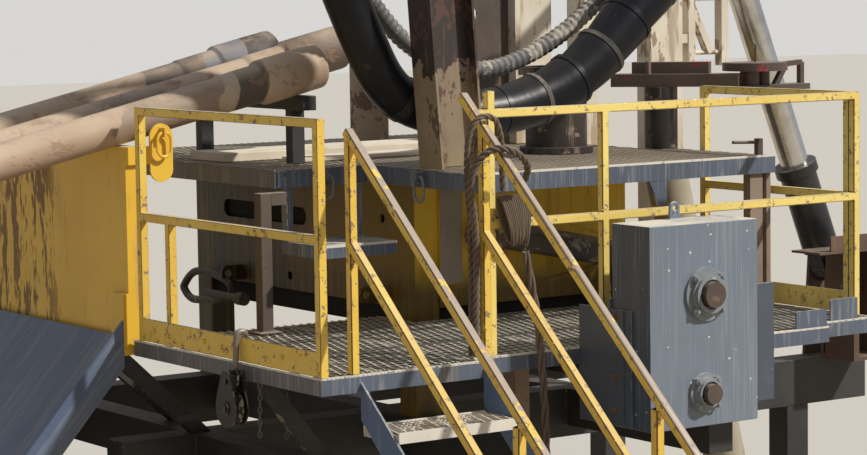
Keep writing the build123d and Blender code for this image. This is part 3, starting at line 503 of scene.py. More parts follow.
finishes = {
    "leftRailPaint": dict(railPaint, topShare=0.62),
    "frontRailPaint": dict(railPaint, colour=((0.88, 0.7, 0.22), (0.8, 0.6, 0.16)), patchScale=34.0,
        patchShare=0.34, speckle=0.6, top=((0.78, 0.7, 0.48), (0.86, 0.8, 0.62)), topShare=0.45,
        speckleColour=(0.24, 0.15, 0.09)),
    "stairRailPaint": dict(railPaint, top=((0.3, 0.25, 0.245), (0.46, 0.4, 0.36)), slope=stairSlope,
        topShare=0.66, topFrom=((0.0, -0.885, 1.0), 0.751025, 0.05)),
    "wallYellow": dict(colour=((0.82, 0.53, 0.06), (0.74, 0.46, 0.045)), patchScale=13.0, patchShare=0.5,
        patchShape=(1.0, 1.0, 0.22), patchFrom=(depthAxis, 2.15, 0.35), streakScale=16.0, streakShare=0.34,
        streak=(0.5, 0.33, 0.16), rust=((0.12, 0.06, 0.04), (0.3, 0.2, 0.13)), dustAmount=0.5, speckle=0.2,
        rough=0.4, dust=(0.85, 0.76, 0.5)),
    "coreYellow": dict(colour=((0.8, 0.51, 0.018), (0.64, 0.4, 0.014)), patchScale=7.0, patchShare=0.03,
        streakScale=12.0, streakShare=0.35, streakStrength=0.4, streak=(0.26, 0.145, 0.012), dustAmount=0.1,
        dust=(0.6, 0.42, 0.12), speckle=0.1, rough=0.5, edgeShare=0.3, edge=(0.3, 0.2, 0.08), dripShare=0.42,
        dripScale=40.0, dripStrength=0.25, drip=(0.3, 0.18, 0.01),
        # painted shade: these bands darken the core towards the bottom, on its -X face and far back under the
        # upper deck
        bands=((upAxis, -1.0, 0.1, 0.08, 0.85, (0.035, 0.024, 0.012), 0.2),
               (pipeAxis, 1.0, 1.372, 0.0, 0.8, (0.13, 0.084, 0.006), 0.001),
               (depthAxis, 1.7, 9.0, 0.2, 0.88, (0.012, 0.009, 0.006), 1.1))),
    "fasciaBlue": dict(colour=((0.1, 0.126, 0.18), (0.08, 0.098, 0.14)), patchScale=12.0, patchShare=0.12,
        rust=((0.4, 0.37, 0.33), (0.66, 0.61, 0.54)), streakScale=30.0, streakShare=0.4, streakStrength=0.4,
        streak=(0.36, 0.35, 0.35), dripShare=0.36, dripScale=90.0, dripStrength=0.2, drip=(0.34, 0.36, 0.4),
        dustAmount=0.85, dust=(0.7, 0.63, 0.52), speckle=0.25, speckleColour=(0.5, 0.47, 0.42), rough=0.42,
        edgeShare=0.5, edge=(0.62, 0.59, 0.53),
        bands=((pipeAxis, -0.1, 0.004, 0.0, 0.75, (0.12, 0.108, 0.1), 0.001),
               (pipeAxis, 0.6, 0.694, 0.0, 0.7, (0.15, 0.14, 0.14), 0.001))),
    "stairBlue": dict(colour=((0.08, 0.14, 0.27), (0.105, 0.16, 0.27)), patchScale=8.0, patchShare=0.12,
        rust=((0.3, 0.32, 0.35), (0.5, 0.5, 0.5)), streakScale=20.0, streakShare=0.25, streakStrength=0.3,
        streak=(0.3, 0.33, 0.38), dustAmount=0.35, speckle=0.25, speckleColour=(0.45, 0.45, 0.45), rough=0.42,
        edgeShare=0.7, edge=(0.66, 0.62, 0.52), slope=stairSlope, topShare=0.5,
        top=((0.7, 0.68, 0.62), (0.82, 0.78, 0.68))),
    "caseGrey": dict(colour=((0.172, 0.212, 0.272), (0.152, 0.19, 0.246)), patchShare=0.0, patchStrength=0.0,
        streakScale=34.0, streakShare=0.16, streakStrength=0.15, streak=(0.42, 0.45, 0.5), dripShare=0.33,
        dripScale=140.0, dripStrength=0.19, drip=(0.46, 0.5, 0.55), dotSize=0.075, dotScale=17.0,
        dot=(0.7, 0.72, 0.74), dustAmount=0.95, dust=(0.8, 0.74, 0.62), dustScale=3.0, speckle=0.12,
        speckleColour=(0.5, 0.52, 0.54), rough=0.36, bump=0.15,
        # painted shade: this band darkens the case's -X side
        bands=((pipeAxis, 1.0, 1.412, 0.0, 0.85, (0.042, 0.06, 0.1), 0.001),)),
    "bracketNavy": dict(colour=((0.06, 0.078, 0.115), (0.085, 0.1, 0.135)), patchShare=0.06, streakShare=0.2,
        streakStrength=0.3, streak=(0.3, 0.32, 0.35), speckle=0.3, speckleColour=(0.4, 0.42, 0.44), rough=0.4,
        edgeShare=0.5, edge=(0.3, 0.33, 0.38)),
    "bearingGrey": dict(colour=((0.2, 0.225, 0.26), (0.26, 0.28, 0.31)), patchScale=26.0, patchShare=0.25,
        rust=((0.45, 0.44, 0.42), (0.62, 0.6, 0.56)), patchStrength=0.6, dust=(0.6, 0.58, 0.54), speckle=0.3,
        speckleColour=(0.55, 0.54, 0.5), rough=0.42),
    "slideGrey": dict(colour=((0.08, 0.115, 0.2), (0.105, 0.147, 0.24)), patchShare=0.06,
        rust=((0.05, 0.045, 0.05), (0.2, 0.16, 0.13)), scratches=0.55, patchStrength=0.5, dustAmount=0.0,
        speckle=0.2, speckleColour=(0.3, 0.3, 0.3), rough=0.42),
    "beamDark": dict(colour=((0.022, 0.023, 0.026), (0.042, 0.041, 0.04)), patchScale=6.0, patchShare=0.1,
        rust=((0.09, 0.07, 0.055), (0.16, 0.13, 0.1)), streakScale=10.0, streakShare=0.2, streakStrength=0.35,
        streak=(0.13, 0.115, 0.09), dustAmount=0.45, dust=(0.25, 0.21, 0.16), speckle=0.2,
        speckleColour=(0.2, 0.18, 0.15), edgeShare=0.35, edge=(0.25, 0.21, 0.16)),
    "gratingDark": dict(colour=((0.52, 0.5, 0.44), (0.66, 0.63, 0.55)), patchShare=0.22,
        rust=((0.12, 0.11, 0.1), (0.26, 0.24, 0.21)), dustScale=2.2, dustAmount=0.75, dust=(0.74, 0.69, 0.6),
        speckle=0.35, rough=0.55),
    "nosing": dict(colour=((0.62, 0.6, 0.55), (0.72, 0.69, 0.62)), patchScale=16.0,
        rust=((0.12, 0.16, 0.23), (0.2, 0.24, 0.3)), streakScale=22.0, streakShare=0.3,
        streak=(0.24, 0.25, 0.28), dustAmount=0.8, dust=(0.8, 0.76, 0.66)),
    "gratingDusty": dict(colour=((0.5, 0.45, 0.38), (0.62, 0.56, 0.47)), patchScale=14.0, patchShare=0.2,
        rust=((0.22, 0.19, 0.16), (0.4, 0.35, 0.28)), dustScale=3.0, dustAmount=0.9, dust=(0.76, 0.7, 0.6),
        speckle=0.35, rough=0.8),
    "greasySteel": dict(colour=((0.014, 0.012, 0.011), (0.038, 0.03, 0.025)),
        rust=((0.14, 0.1, 0.075), (0.32, 0.25, 0.18)), streakShare=0.42, streakScale=20.0,
        streak=(0.26, 0.2, 0.15), dust=(0.36, 0.3, 0.23), speckle=0.3, speckleColour=(0.3, 0.25, 0.2),
        rough=0.45),
    "wrenchRed": dict(colour=((0.075, 0.055, 0.05), (0.13, 0.095, 0.08)), patchScale=7.0, patchShare=0.36,
        rust=((0.3, 0.03, 0.04), (0.42, 0.07, 0.07)), streakShare=0.1, dust=(0.42, 0.36, 0.3),
        speckleColour=(0.3, 0.25, 0.2), rough=0.5),
    "rustyTan": dict(colour=((0.3, 0.22, 0.15), (0.4, 0.31, 0.22)), patchScale=6.0, patchShare=0.42,
        rust=((0.085, 0.045, 0.035), (0.16, 0.1, 0.075)), streakShare=0.3, streak=(0.13, 0.09, 0.07),
        rough=0.75, bump=0.6),
    # painted shade: the corner post's brown is darker than its own colour
    "cornerBrownAndShade": dict(colour=((0.085, 0.064, 0.052), (0.13, 0.1, 0.085)),
        rust=((0.08, 0.05, 0.04), (0.2, 0.15, 0.12)), streakShare=0.3, streak=(0.3, 0.25, 0.22),
        dustAmount=0.5, rough=0.75),
    "postRust": dict(colour=((0.2, 0.15, 0.12), (0.28, 0.21, 0.165)), patchScale=8.0,
        rust=((0.14, 0.075, 0.05), (0.27, 0.16, 0.11)), streakShare=0.2, dustAmount=0.5, rough=0.75,
        bump=0.6),
    "footBrown": dict(colour=((0.08, 0.05, 0.04), (0.13, 0.08, 0.06)), patchShare=0.2,
        rust=((0.2, 0.12, 0.09), (0.3, 0.2, 0.15)), streakShare=0.2, dustAmount=0.5, dust=(0.42, 0.34, 0.28)),
    "channelTan": dict(colour=((0.21, 0.16, 0.11), (0.32, 0.245, 0.17)), patchScale=8.0, patchShare=0.36,
        patchShape=(1.0, 1.0, 0.6), rust=((0.075, 0.035, 0.035), (0.15, 0.085, 0.07)), streakScale=22.0,
        streakShare=0.36, streakStrength=0.5, streak=(0.16, 0.1, 0.07), dustAmount=0.4, speckle=0.35,
        rough=0.55, edgeShare=0.8, edge=(0.66, 0.56, 0.42),
        bands=((upAxis, 1.2, 9.0, 0.5, 0.95, (0.026, 0.019, 0.018), 0.012),
               (upAxis, 0.0, 0.82, 0.14, 0.45, (0.26, 0.22, 0.1), 0.012))),
    "mastPale": dict(colour=((0.76, 0.71, 0.61), (0.6, 0.53, 0.43)), patchScale=7.0, patchShare=0.36,
        patchShape=(1.0, 1.0, 0.4), rust=((0.16, 0.11, 0.07), (0.4, 0.3, 0.2)), streakScale=12.0,
        streakShare=0.4, streak=(0.3, 0.21, 0.13), streakStrength=0.65, dustAmount=0.5, speckle=0.35,
        rough=0.55, edgeShare=0.5, edge=(0.25, 0.17, 0.11)),
    "mastDark": dict(colour=((0.06, 0.048, 0.04), (0.13, 0.1, 0.075)), patchScale=7.0, patchShare=0.34,
        rust=((0.035, 0.028, 0.025), (0.1, 0.075, 0.06)), streakShare=0.36, streakScale=26.0,
        streakStrength=0.5, streak=(0.24, 0.185, 0.14), dustAmount=0.5, speckle=0.35, rough=0.5,
        edgeShare=0.7, edge=(0.5, 0.42, 0.32)),
    "cylinderBlack": dict(colour=((0.015, 0.017, 0.022), (0.03, 0.028, 0.028)), patchScale=5.0,
        patchShare=0.22, rust=((0.07, 0.045, 0.03), (0.15, 0.1, 0.07)), streakShare=0.1, dustAmount=0.5,
        dust=(0.25, 0.23, 0.2), speckle=0.3, speckleColour=(0.3, 0.27, 0.23), rough=0.32, dotSize=0.06,
        dotScale=22.0, dot=(0.4, 0.36, 0.3)),
    "ringSteel": dict(colour=((0.14, 0.145, 0.16), (0.21, 0.21, 0.21)), patchScale=30.0, patchShare=0.25,
        rust=((0.32, 0.28, 0.24), (0.46, 0.42, 0.37)), speckle=0.3, rough=0.42, metal=0.2),
    "blockBlack": dict(colour=((0.009, 0.007, 0.007), (0.022, 0.016, 0.013)), patchScale=18.0,
        patchShare=0.14, rust=((0.05, 0.03, 0.02), (0.12, 0.08, 0.055)), dustAmount=0.3,
        dust=(0.3, 0.26, 0.2), speckle=0.25, speckleColour=(0.16, 0.13, 0.1), rough=0.45, edgeShare=0.45,
        edge=(0.34, 0.3, 0.24)),
    "shaftSteel": dict(colour=((0.075, 0.054, 0.047), (0.13, 0.098, 0.085)), patchScale=24.0,
        rust=((0.13, 0.07, 0.055), (0.26, 0.18, 0.14)), dustAmount=0.4, rough=0.5, metal=0.2),
    "boltBrown": dict(colour=((0.12, 0.065, 0.05), (0.17, 0.1, 0.075)), patchShare=0.2,
        dust=(0.4, 0.32, 0.26)),
    "ductBeige": dict(colour=((0.42, 0.38, 0.3), (0.32, 0.285, 0.225)), patchScale=6.0,
        rust=((0.22, 0.18, 0.13), (0.36, 0.31, 0.25)), streakShare=0.2, streak=(0.3, 0.26, 0.2),
        dustAmount=0.5, speckle=0.25, rough=0.8),
    "suctionDark": dict(colour=((0.045, 0.037, 0.032), (0.1, 0.083, 0.068)), patchScale=7.0,
        rust=((0.2, 0.17, 0.13), (0.34, 0.29, 0.23)), dustAmount=0.7, dust=(0.5, 0.43, 0.33), speckle=0.3,
        speckleColour=(0.3, 0.26, 0.2)),
    "sillCream": dict(colour=((0.76, 0.68, 0.54), (0.6, 0.53, 0.43)), patchScale=7.0, patchShare=0.2,
        rust=((0.3, 0.26, 0.2), (0.45, 0.38, 0.3)), streakShare=0.1, dustAmount=0.9, dust=(0.86, 0.8, 0.67),
        speckle=0.25, rough=0.8),
    "deckDustAndShade": dict(colour=((0.5, 0.45, 0.37), (0.62, 0.56, 0.47)), patchScale=5.0, patchShare=0.25,
        rust=((0.24, 0.21, 0.17), (0.36, 0.32, 0.26)), dustScale=2.0, dust=(0.52, 0.46, 0.37), speckle=0.3,
        rough=0.9,
        # painted shade: this band darkens the dust sheet on the upper deck's left part
        bands=((pipeAxis, 0.0, 1.3, 0.25, 0.9, (0.03, 0.03, 0.032), 0.2),)),
    "ropeFibre": dict(colour=((0.115, 0.084, 0.065), (0.18, 0.136, 0.103)), patchScale=16.0, patchShare=0.22,
        rust=((0.1, 0.075, 0.06), (0.17, 0.13, 0.1)), dustAmount=0.45, dust=(0.46, 0.37, 0.29),
        grainScale=150.0, rough=0.9, bump=0.8),
    "hookWorn": dict(colour=((0.16, 0.135, 0.11), (0.32, 0.28, 0.23)), patchScale=20.0, patchShare=0.4,
        rust=((0.06, 0.045, 0.035), (0.14, 0.1, 0.08)), dustAmount=0.4, rough=0.4, metal=0.2),
    # painted shade: near black, for sheets and plates put where only shade falls
    "shadeBlack": dict(colour=((0.008, 0.008, 0.008), (0.014, 0.013, 0.012)), patchShare=0.0,
        patchStrength=0.0, dustAmount=0.1, speckle=0.1, rough=0.9),
    "hoseDust": dict(colour=((0.1, 0.088, 0.072), (0.04, 0.037, 0.034)), patchScale=8.0, patchShare=0.46,
        rust=((0.02, 0.022, 0.03), (0.06, 0.06, 0.065)), dustAmount=0.4, speckle=0.3, rough=0.7),
    "ribbedGrey": dict(colour=((0.1, 0.1, 0.105), (0.17, 0.165, 0.16)), patchShare=0.42,
        rust=((0.36, 0.33, 0.27), (0.5, 0.46, 0.38)), dust=(0.5, 0.45, 0.37), speckle=0.3),
    "chainSteel": dict(colour=((0.07, 0.06, 0.055), (0.15, 0.13, 0.11)), patchScale=30.0, patchShare=0.2,
        dustAmount=0.3, dust=(0.4, 0.35, 0.28), rough=0.5, metal=0.3),
    "stripTaupe": dict(colour=((0.3, 0.26, 0.21), (0.36, 0.31, 0.25)), patchShare=0.1, streakShare=0.3,
        streak=(0.44, 0.39, 0.3), dustAmount=0.4, speckle=0.2, rough=0.7),
}
paint = {name: wornMetal(name, values) for name, values in finishes.items()}


# polished rod, with faint draw marks along it
def chromeFinish():
    material, shader, place, normal = startMaterial("polishedRod")
    marks = noiseNode(scaled(place, (30.0, 30.0, 1.2)), 3.0, 3.0)
    film = stepNode(noiseNode(place, 5.0), 0.4, 0.75)
    feed(shader["Base Color"], mixColour(film, (0.72, 0.73, 0.75), (0.52, 0.5, 0.47)))
    feed(shader["Roughness"], plus(0.12, times(marks, 0.22)))
    feed(shader["Metallic"], 1.0)
    return material


# black rubber with a tan film of dust on its upper side
def rubberFinish():
    material, shader, place, normal = startMaterial("hoseRubber")
    broad = stepNode(noiseNode(place, 3.2), 0.35, 0.7)
    colour = mixColour(broad, (0.003, 0.0045, 0.009), (0.009, 0.01, 0.014))
    dust = useGroup(dustGroup, Place=place, Normal=normal, Scale=5.2, Amount=0.16)
    colour = mixColour(dust, colour, (0.14, 0.12, 0.1))
    patches = useGroup(patchGroup, Place=place, Scale=4.1, Share=0.24)
    feed(shader["Base Color"], laid(colour, patches, 0.35, (0.12, 0.1, 0.075)))
    feed(shader["Specular IOR Level"], 0.3)
    wear = mathNode("MAXIMUM", dust, patches)
    feed(shader["Roughness"], plus(0.36, times(wear, 0.45)))
    addBump(shader, noiseNode(place, 34.0), 0.25, 0.003)
    return material


pipePaint = dict(colour=((0.42, 0.3, 0.215), (0.53, 0.41, 0.3)), patchScale=11.0, patchShare=0.36,
    patchShape=(0.55, 1.0, 1.0), rust=((0.24, 0.14, 0.09), (0.42, 0.28, 0.19)), patchStrength=0.6,
    dust=(0.66, 0.54, 0.41), dustScale=4.0, speckle=0.5, speckleColour=(0.2, 0.12, 0.08), bump=0.6)
# each band of a drill pipe: begin, end, ragged edge, strength and colour
shadowAndGreaseBand, blueBand, tanBand = (0.05, 0.045, 0.042), (0.1, 0.15, 0.24), (0.5, 0.42, 0.32)
pipeBands = {
    # painted shadow: the front pipe's first two bands and the middle pipe's first band stand in for cast
    # shadows; the front's dark band also lies over a greasy ring
    "drill_pipe_front": ((0.0, 0.52, 0.5, 0.55, (0.16, 0.12, 0.1)), (0.53, 0.6, 0.01, 0.8, tanBand),
                         (0.6, 0.76, 0.05, 0.85, shadowAndGreaseBand)),
    "drill_pipe_middle": ((0.1, 0.45, 0.5, 0.6, (0.14, 0.11, 0.09)),
                          (1.06, 1.5, 0.12, 0.85, (0.1, 0.065, 0.05))),
    "drill_pipe_back": ((0.55, 0.89, 0.12, 0.75, (0.09, 0.08, 0.08)), (0.89, 1.12, 0.03, 0.7, blueBand),
                        (1.12, 1.5, 0.02, 0.95, (0.035, 0.032, 0.032))),
}
for node, spans in pipeBands.items():
    bands = [(pipeAxis, *span, 0.012) for span in spans]
    paint[node] = wornMetal(node + "Steel", dict(pipePaint, bands=bands))
paint["chrome"] = chromeFinish()
paint["rubber"] = rubberFinish()
print("materials made:", len(paint))


# ---- helpers that shape and place meshes

def boxIn(bm, low, high):
    low, high = Vector(low), Vector(high)
    place = Matrix.Translation(spot(*((low + high) / 2)))
    bmesh.ops.create_cube(bm, size=1.0, matrix=place @ Matrix.Diagonal((*(high - low), 1.0)))


# the place and turn of a bar or rod from a to b, and its length
def along(a, b, side=(0, 0, 1)):
    a, b = Vector(a), Vector(b)
    way = (b - a).normalized()
    across = way.cross(Vector(side))
    if across.length < 1e-4:
        across = way.cross(Vector((1, 0, 0)))
    across.normalize()
    turn = Matrix((across, across.cross(way), way)).transposed().to_4x4()
    return Matrix.Translation(spot(*((a + b) / 2))) @ turn, (b - a).length


def barIn(bm, a, b, width, depth, side):
    place, length = along(a, b, side)
    bmesh.ops.create_cube(bm, size=1.0, matrix=place @ Matrix.Diagonal((width, depth, length, 1.0)))


def rodIn(bm, a, b, radius, segments):
    place, length = along(a, b)
    bmesh.ops.create_cone(bm, cap_ends=True, segments=segments, radius1=radius, radius2=radius, depth=length,
                          matrix=place)


def turnedIn(bm, a, b, profile, segments):
    place, length = along(a, b)
    verts = [bm.verts.new((radius, 0, height - length / 2)) for radius, height in profile]
    edges = [bm.edges.new(pair) for pair in zip(verts, verts[1:])]
    bmesh.ops.spin(bm, geom=verts + edges, cent=(0, 0, 0), axis=(0, 0, 1), angle=2 * math.pi, steps=segments,
                   use_merge=True)
    bmesh.ops.transform(bm, matrix=place, verts=bm.verts)


# a bolt head is a washer with a six-sided head on it, both in shares of its radius
def boltIn(bm, at, way, radius, washer=0.225, head=1.125):
    at, way = Vector(at), Vector(way)
    rodIn(bm, at, at + way * radius * washer, radius * 1.5, 16)
    rodIn(bm, at + way * radius * washer, at + way * radius * head, radius, 6)


def meshOf(name, bm):
    mesh = bpy.data.meshes.new(name)
    bm.to_mesh(mesh)
    bm.free()
    return mesh


def mergeInto(bm, part):
    mesh = meshOf("part", part)
    bm.from_mesh(mesh)
    bpy.data.meshes.remove(mesh)


def softenEdges(piece, width, angle):
    edge = piece.modifiers.new("edge", "BEVEL")
    edge.width, edge.segments, edge.limit_method, edge.angle_limit = width, 2, "ANGLE", math.radians(angle)
    return edge


def finishPiece(name, bm, finish, body="frame", stands=(), bevel=0.0, smooth=False):
    bmesh.ops.remove_doubles(bm, verts=bm.verts, dist=1e-5)
    bmesh.ops.recalc_face_normals(bm, faces=bm.faces)
    for face in bm.faces:
        face.smooth = smooth
    piece = addPiece(name, meshOf(name, bm), finish, body, stands)
    if bevel:
        softenEdges(piece, bevel, 40)


def boxPiece(name, finish, boxes):
    bm = bmesh.new()
    for low, high in boxes:
        boxIn(bm, low, high)
    finishPiece(name, bm, finish)


# the frame's own pieces that keep their shape: a finish each, and the width of their soft edges in metres
nodeFinish = {
    "leftRailPaint": ("left_rail",),
    "frontRailPaint": ("front_rail", "end_rail"),
    "stairRailPaint": ("stair_rails",),
    "wallYellow": ("side_wall", "wall_ring"),
    "coreYellow": ("core_panels", "core_legs"),
    "fasciaBlue": ("lower_deck_frame", "upper_deck_frame", "half_step"),
    "stairBlue": ("stair_stringers",),
    "caseGrey": ("chain_case",),
    "bracketNavy": ("case_bracket",),
    "bearingGrey": ("shaft_bearings",),
    "slideGrey": ("pipe_ramp",),
    "beamDark": ("base_beams", "support_legs", "knee_braces", "pipe_trestle", "pipe_rest"),
    "blockBlack": ("snatch_sheave",),
    "ringSteel": ("left_deck_ring", "right_deck_ring"),
    "shaftSteel": ("upper_shaft", "lower_shaft", "lift_lever"),
    "postRust": ("deck_posts",),
    "cornerBrownAndShade": ("corner_post",),
    "footBrown": ("cylinder_foot",),
    "rustyTan": ("round_post", "suction_fittings"),
    "mastPale": ("mast_left_frame", "mast_right_frame", "mast_ties", "mast_ladder"),
    "mastDark": ("mast_guide", "hose_hangers"),
    "channelTan": ("guide_channel",),
    "ductBeige": ("dust_duct",),
    "suctionDark": ("suction_hose",),
    "greasySteel": ("well_drum", "wrench_post"),
    "wrenchRed": ("wrench_arm", "wrench_disc"),
    "cylinderBlack": ("cylinder_barrel",),
    "chrome": ("cylinder_rod",),
    "sillCream": ("deck_sills",),
}
softEdge = {
    0.002: ("lower_deck_frame", "upper_deck_frame", "case_bracket", "core_panels", "mast_ladder",
            "stair_stringers", "mast_guide"),
    0.003: ("side_wall", "half_step", "knee_braces", "pipe_ramp", "pipe_rest", "cylinder_foot", "mast_ties",
            "pipe_trestle", "support_legs", "hose_hangers"),
    0.004: ("chain_case", "base_beams", "deck_posts", "mast_left_frame", "mast_right_frame"),
    0.0045: ("left_rail", "front_rail", "end_rail", "stair_rails"),
    0.005: ("wrench_arm", "left_deck_ring", "right_deck_ring", "wall_ring"),
    0.006: ("core_legs", "deck_sills", "corner_post"),
}
for finish, names in nodeFinish.items():
    for name in names:
        nodes[name].data.materials.clear()
        nodes[name].data.materials.append(paint[finish])
for piece in ropes:
    piece.data.materials.append(paint["ropeFibre"])
for width, names in softEdge.items():
    for name in names:
        nodes[name].modifiers.new("weld", "WELD").merge_threshold = 0.00002
        softenEdges(nodes[name], width, 35).use_clamp_overlap = name != "stair_rails"
print("finishes laid on the frame's pieces")


# ---- gratings of crossed strips, trimmed to their decks
gratingValues = {"wide": 0.044, "long": 0.14, "strip": 0.0075, "thin": 0.0026, "tip": 0.12, "drop": 0.0045}


def trimTo(part, x0, x1, y0, y1):
    for place, way in (((x0, 0, 0), (-1, 0, 0)), ((x1, 0, 0), (1, 0, 0)), ((0, y0, 0), (0, -1, 0)),
                       ((0, y1, 0), (0, 1, 0))):
        whole = part.verts[:] + part.edges[:] + part.faces[:]
        bmesh.ops.bisect_plane(part, geom=whole, plane_co=spot(*place), plane_no=way, clear_outer=True)
        bmesh.ops.holes_fill(part, edges=[e for e in part.edges if e.is_boundary], sides=0)


# expanded metal: two families of thin strips, each tipped, that cross in long diamonds
def gratingIn(bm, x0, x1, y0, y1, top, v):
    part = bmesh.new()
    middle = Vector(((x0 + x1) / 2, (y0 + y1) / 2, top - v["drop"]))
    reach = math.hypot(x1 - x0, y1 - y0)
    lean = math.atan2(v["long"], v["wide"])
    pitch = v["wide"] * math.sin(lean)
    for side in (1, -1):
        way = Vector((math.cos(lean), side * math.sin(lean), 0))
        across = Vector((-side * math.sin(lean), math.cos(lean), 0))
        count = int(reach / pitch / 2) + 1
        for i in range(-count, count + 1):
            centre = middle + across * pitch * i
            barIn(part, centre - way * reach * 0.52, centre + way * reach * 0.52, v["strip"], v["thin"],
                  (-v["tip"] * across.x * side, -v["tip"] * across.y * side, 1))
    trimTo(part, x0, x1, y0, y1)
    mergeInto(bm, part)


# panels and nosings are x0, x1, y0, y1; thin sheets lie just below the strips: the lower deck's is near-black
# painted shade, the upper deck's is dust with a band of painted shade
def flatBoxes(panels, low, high, inset=0.0):
    return [((x0 + inset, y0 + inset, low), (x1 - inset, y1 - inset, high)) for x0, x1, y0, y1 in panels]


lowerPanels = ((0.0, 0.83, 0.0, 0.08), (0.0, 2.35, 0.08, 1.29), (2.35, 2.706, -0.12, 1.29),
               (2.706, 3.106, 0.0, 1.29), (0.0, 1.35, 1.29, 1.6))
lowerNoses = ((0.0, 0.83, 0.0, 0.014), (0.83, 2.35, 0.08, 0.094), (0.0, 0.012, 0.014, 1.6),
              (2.35, 2.706, -0.12, -0.106), (2.706, 3.094, 0.0, 0.014), (3.094, 3.106, 0.0, 1.29))
upperPanels = ((0.69, 1.215, 1.47, 3.4), (1.215, 2.89, 0.57, 3.4), (2.89, 2.995, 0.57, 1.33))
upperNoses = [((1.215, 0.5695, 0.741), (2.995, 0.579, 0.7512)), ((0.74, 1.1495, 0.4), (1.16, 1.158, 0.4125))]
deckValues = {
    "lowerGratingStrips": {
        "finish": "gratingDark", "node": "lower_deck_grating", "panels": lowerPanels, "top": 0.0,
        "boxes": (("lowerNosing", "nosing", flatBoxes(lowerNoses, -0.008, 0.0006)),
                  # painted shade: a near-black sheet under the lower deck's strips
                  ("lowerGratingShadeSheet", "shadeBlack", flatBoxes(lowerPanels, -0.0105, -0.0095, 0.004)))},
    "upperGratingStrips": {
        "finish": "gratingDusty", "node": "upper_deck_grating", "panels": upperPanels, "top": 0.75,
        "boxes": (("gratingDustAndShade", "deckDustAndShade", flatBoxes(upperPanels, 0.7422, 0.7432, 0.004)),
                  ("upperNosing", "nosing", upperNoses))},
}
stairValues = {"rise": 0.2125, "going": 0.24, "left": 0.2025, "right": 0.8185, "bars": (0.2025, 0.5, 0.8125)}


def deckGratings(decks, grating):
    for name, v in decks.items():
        bm = bmesh.new()
        for panel in v["panels"]:
            gratingIn(bm, *panel, v["top"], grating)
        finishPiece(name, bm, v["finish"], stands=(v["node"],))
        for boxes in v["boxes"]:
            boxPiece(*boxes)


def stairTreads(v, grating):
    bm = bmesh.new()
    noses = []
    for step in range(1, 8):
        z, y = -v["rise"] * step, -v["going"] * (step - 1) - 0.002
        gratingIn(bm, 0.202, 0.819, y - 0.252, y - 0.012, z, grating)
        for back, front in ((y - 0.265, y - 0.253), (y - 0.012, y)):
            noses.append(((v["left"], back, z - 0.045), (v["right"], front, z + 0.0005)))
        for x in v["bars"]:
            boxIn(bm, (x, y - 0.255, z - 0.045), (x + 0.006, y - 0.01, z - 0.009))
    finishPiece("stairTreadStrips", bm, "gratingDusty", stands=("stair_treads",))
    boxPiece("stairTreadNoses", "nosing", noses)


deckGratings(deckValues, gratingValues)
stairTreads(stairValues, gratingValues)
print("gratings made")


# ---- drill pipes with shoulders, hard bands and an open bore: each row is its y and the x of its end
pipeValues = {"slope": math.radians(12.7), "rest": 0.8825, "restX": -0.012, "body": 0.085, "joint": 0.108,
              "length": 6.1, "bore": 0.07,
              "rows": {"drill_pipe_front": (1.72, 1.099), "drill_pipe_middle": (2.05, 1.438),
                       "drill_pipe_back": (2.52, 1.33)}}


def drillPipes(v):
    joint, body, bore, end, slope = v["joint"], v["body"], v["bore"], v["length"], v["slope"]
    profile = [(bore, 0.012), (joint - 0.024, 0.0), (joint - 0.01, 0.003), (joint - 0.002, 0.012),
               (joint, 0.026), (joint, 0.12), (joint + 0.0004, 0.124), (joint + 0.0004, 0.15), (joint, 0.154),
               (joint, 0.33), (joint - 0.004, 0.341), (joint - 0.014, 0.35), (joint - 0.016, 0.36),
               (joint - 0.016, 0.44), (joint - 0.0165, 0.48), (body + 0.0055, 0.52), (body + 0.006, 0.556),
               (body + 0.0004, 0.562), (body, 0.58), (body, end - 0.46), (body + 0.003, end - 0.44),
               (joint - 0.013, end - 0.388), (joint - 0.01, end - 0.375), (joint - 0.01, end - 0.03),
               (joint - 0.03, end), (bore, end), (bore, 0.012)]
    way = Vector((-math.cos(slope), 0, -math.sin(slope)))
    for name, (y, x) in v["rows"].items():
        start = Vector((x, y, v["rest"] + (x - v["restX"]) * math.tan(slope) + body / math.cos(slope)))
        bm = bmesh.new()
        turnedIn(bm, start, start + way * v["length"], profile, 48)
        finishPiece(name + "Turned", bm, name, stands=(name,), smooth=True)


drillPipes(pipeValues)
print("drill pipes made")


# ---- air hoses: a black one with wrapped bands on its right side, and a ribbed one behind it
hoseValues = {"radius": 0.105, "y": 1.19, "wraps": 8, "from": 0.5, "to": 0.985, "grow": 0.026,
              "bands": (0.19, 0.4), "segments": 32,
              "route": ((0.52, 2.42), (0.78, 1.86), (1.0, 1.37), (1.15, 1.09), (1.42, 0.985), (1.72, 0.975),
                        (2.0, 1.03), (2.22, 1.12), (2.4, 1.25), (2.56, 1.4), (2.8, 1.62), (3.1, 1.96))}
ribbedValues = {"radius": 0.045, "y": 1.45, "rib": 0.036, "depth": 0.005, "segments": 20,
                "route": ((0.62, 2.49), (0.95, 1.95), (1.29, 1.42), (1.58, 1.22), (1.88, 1.16), (2.2, 1.25),
                          (2.5, 1.42), (2.82, 1.69), (3.14, 1.972))}


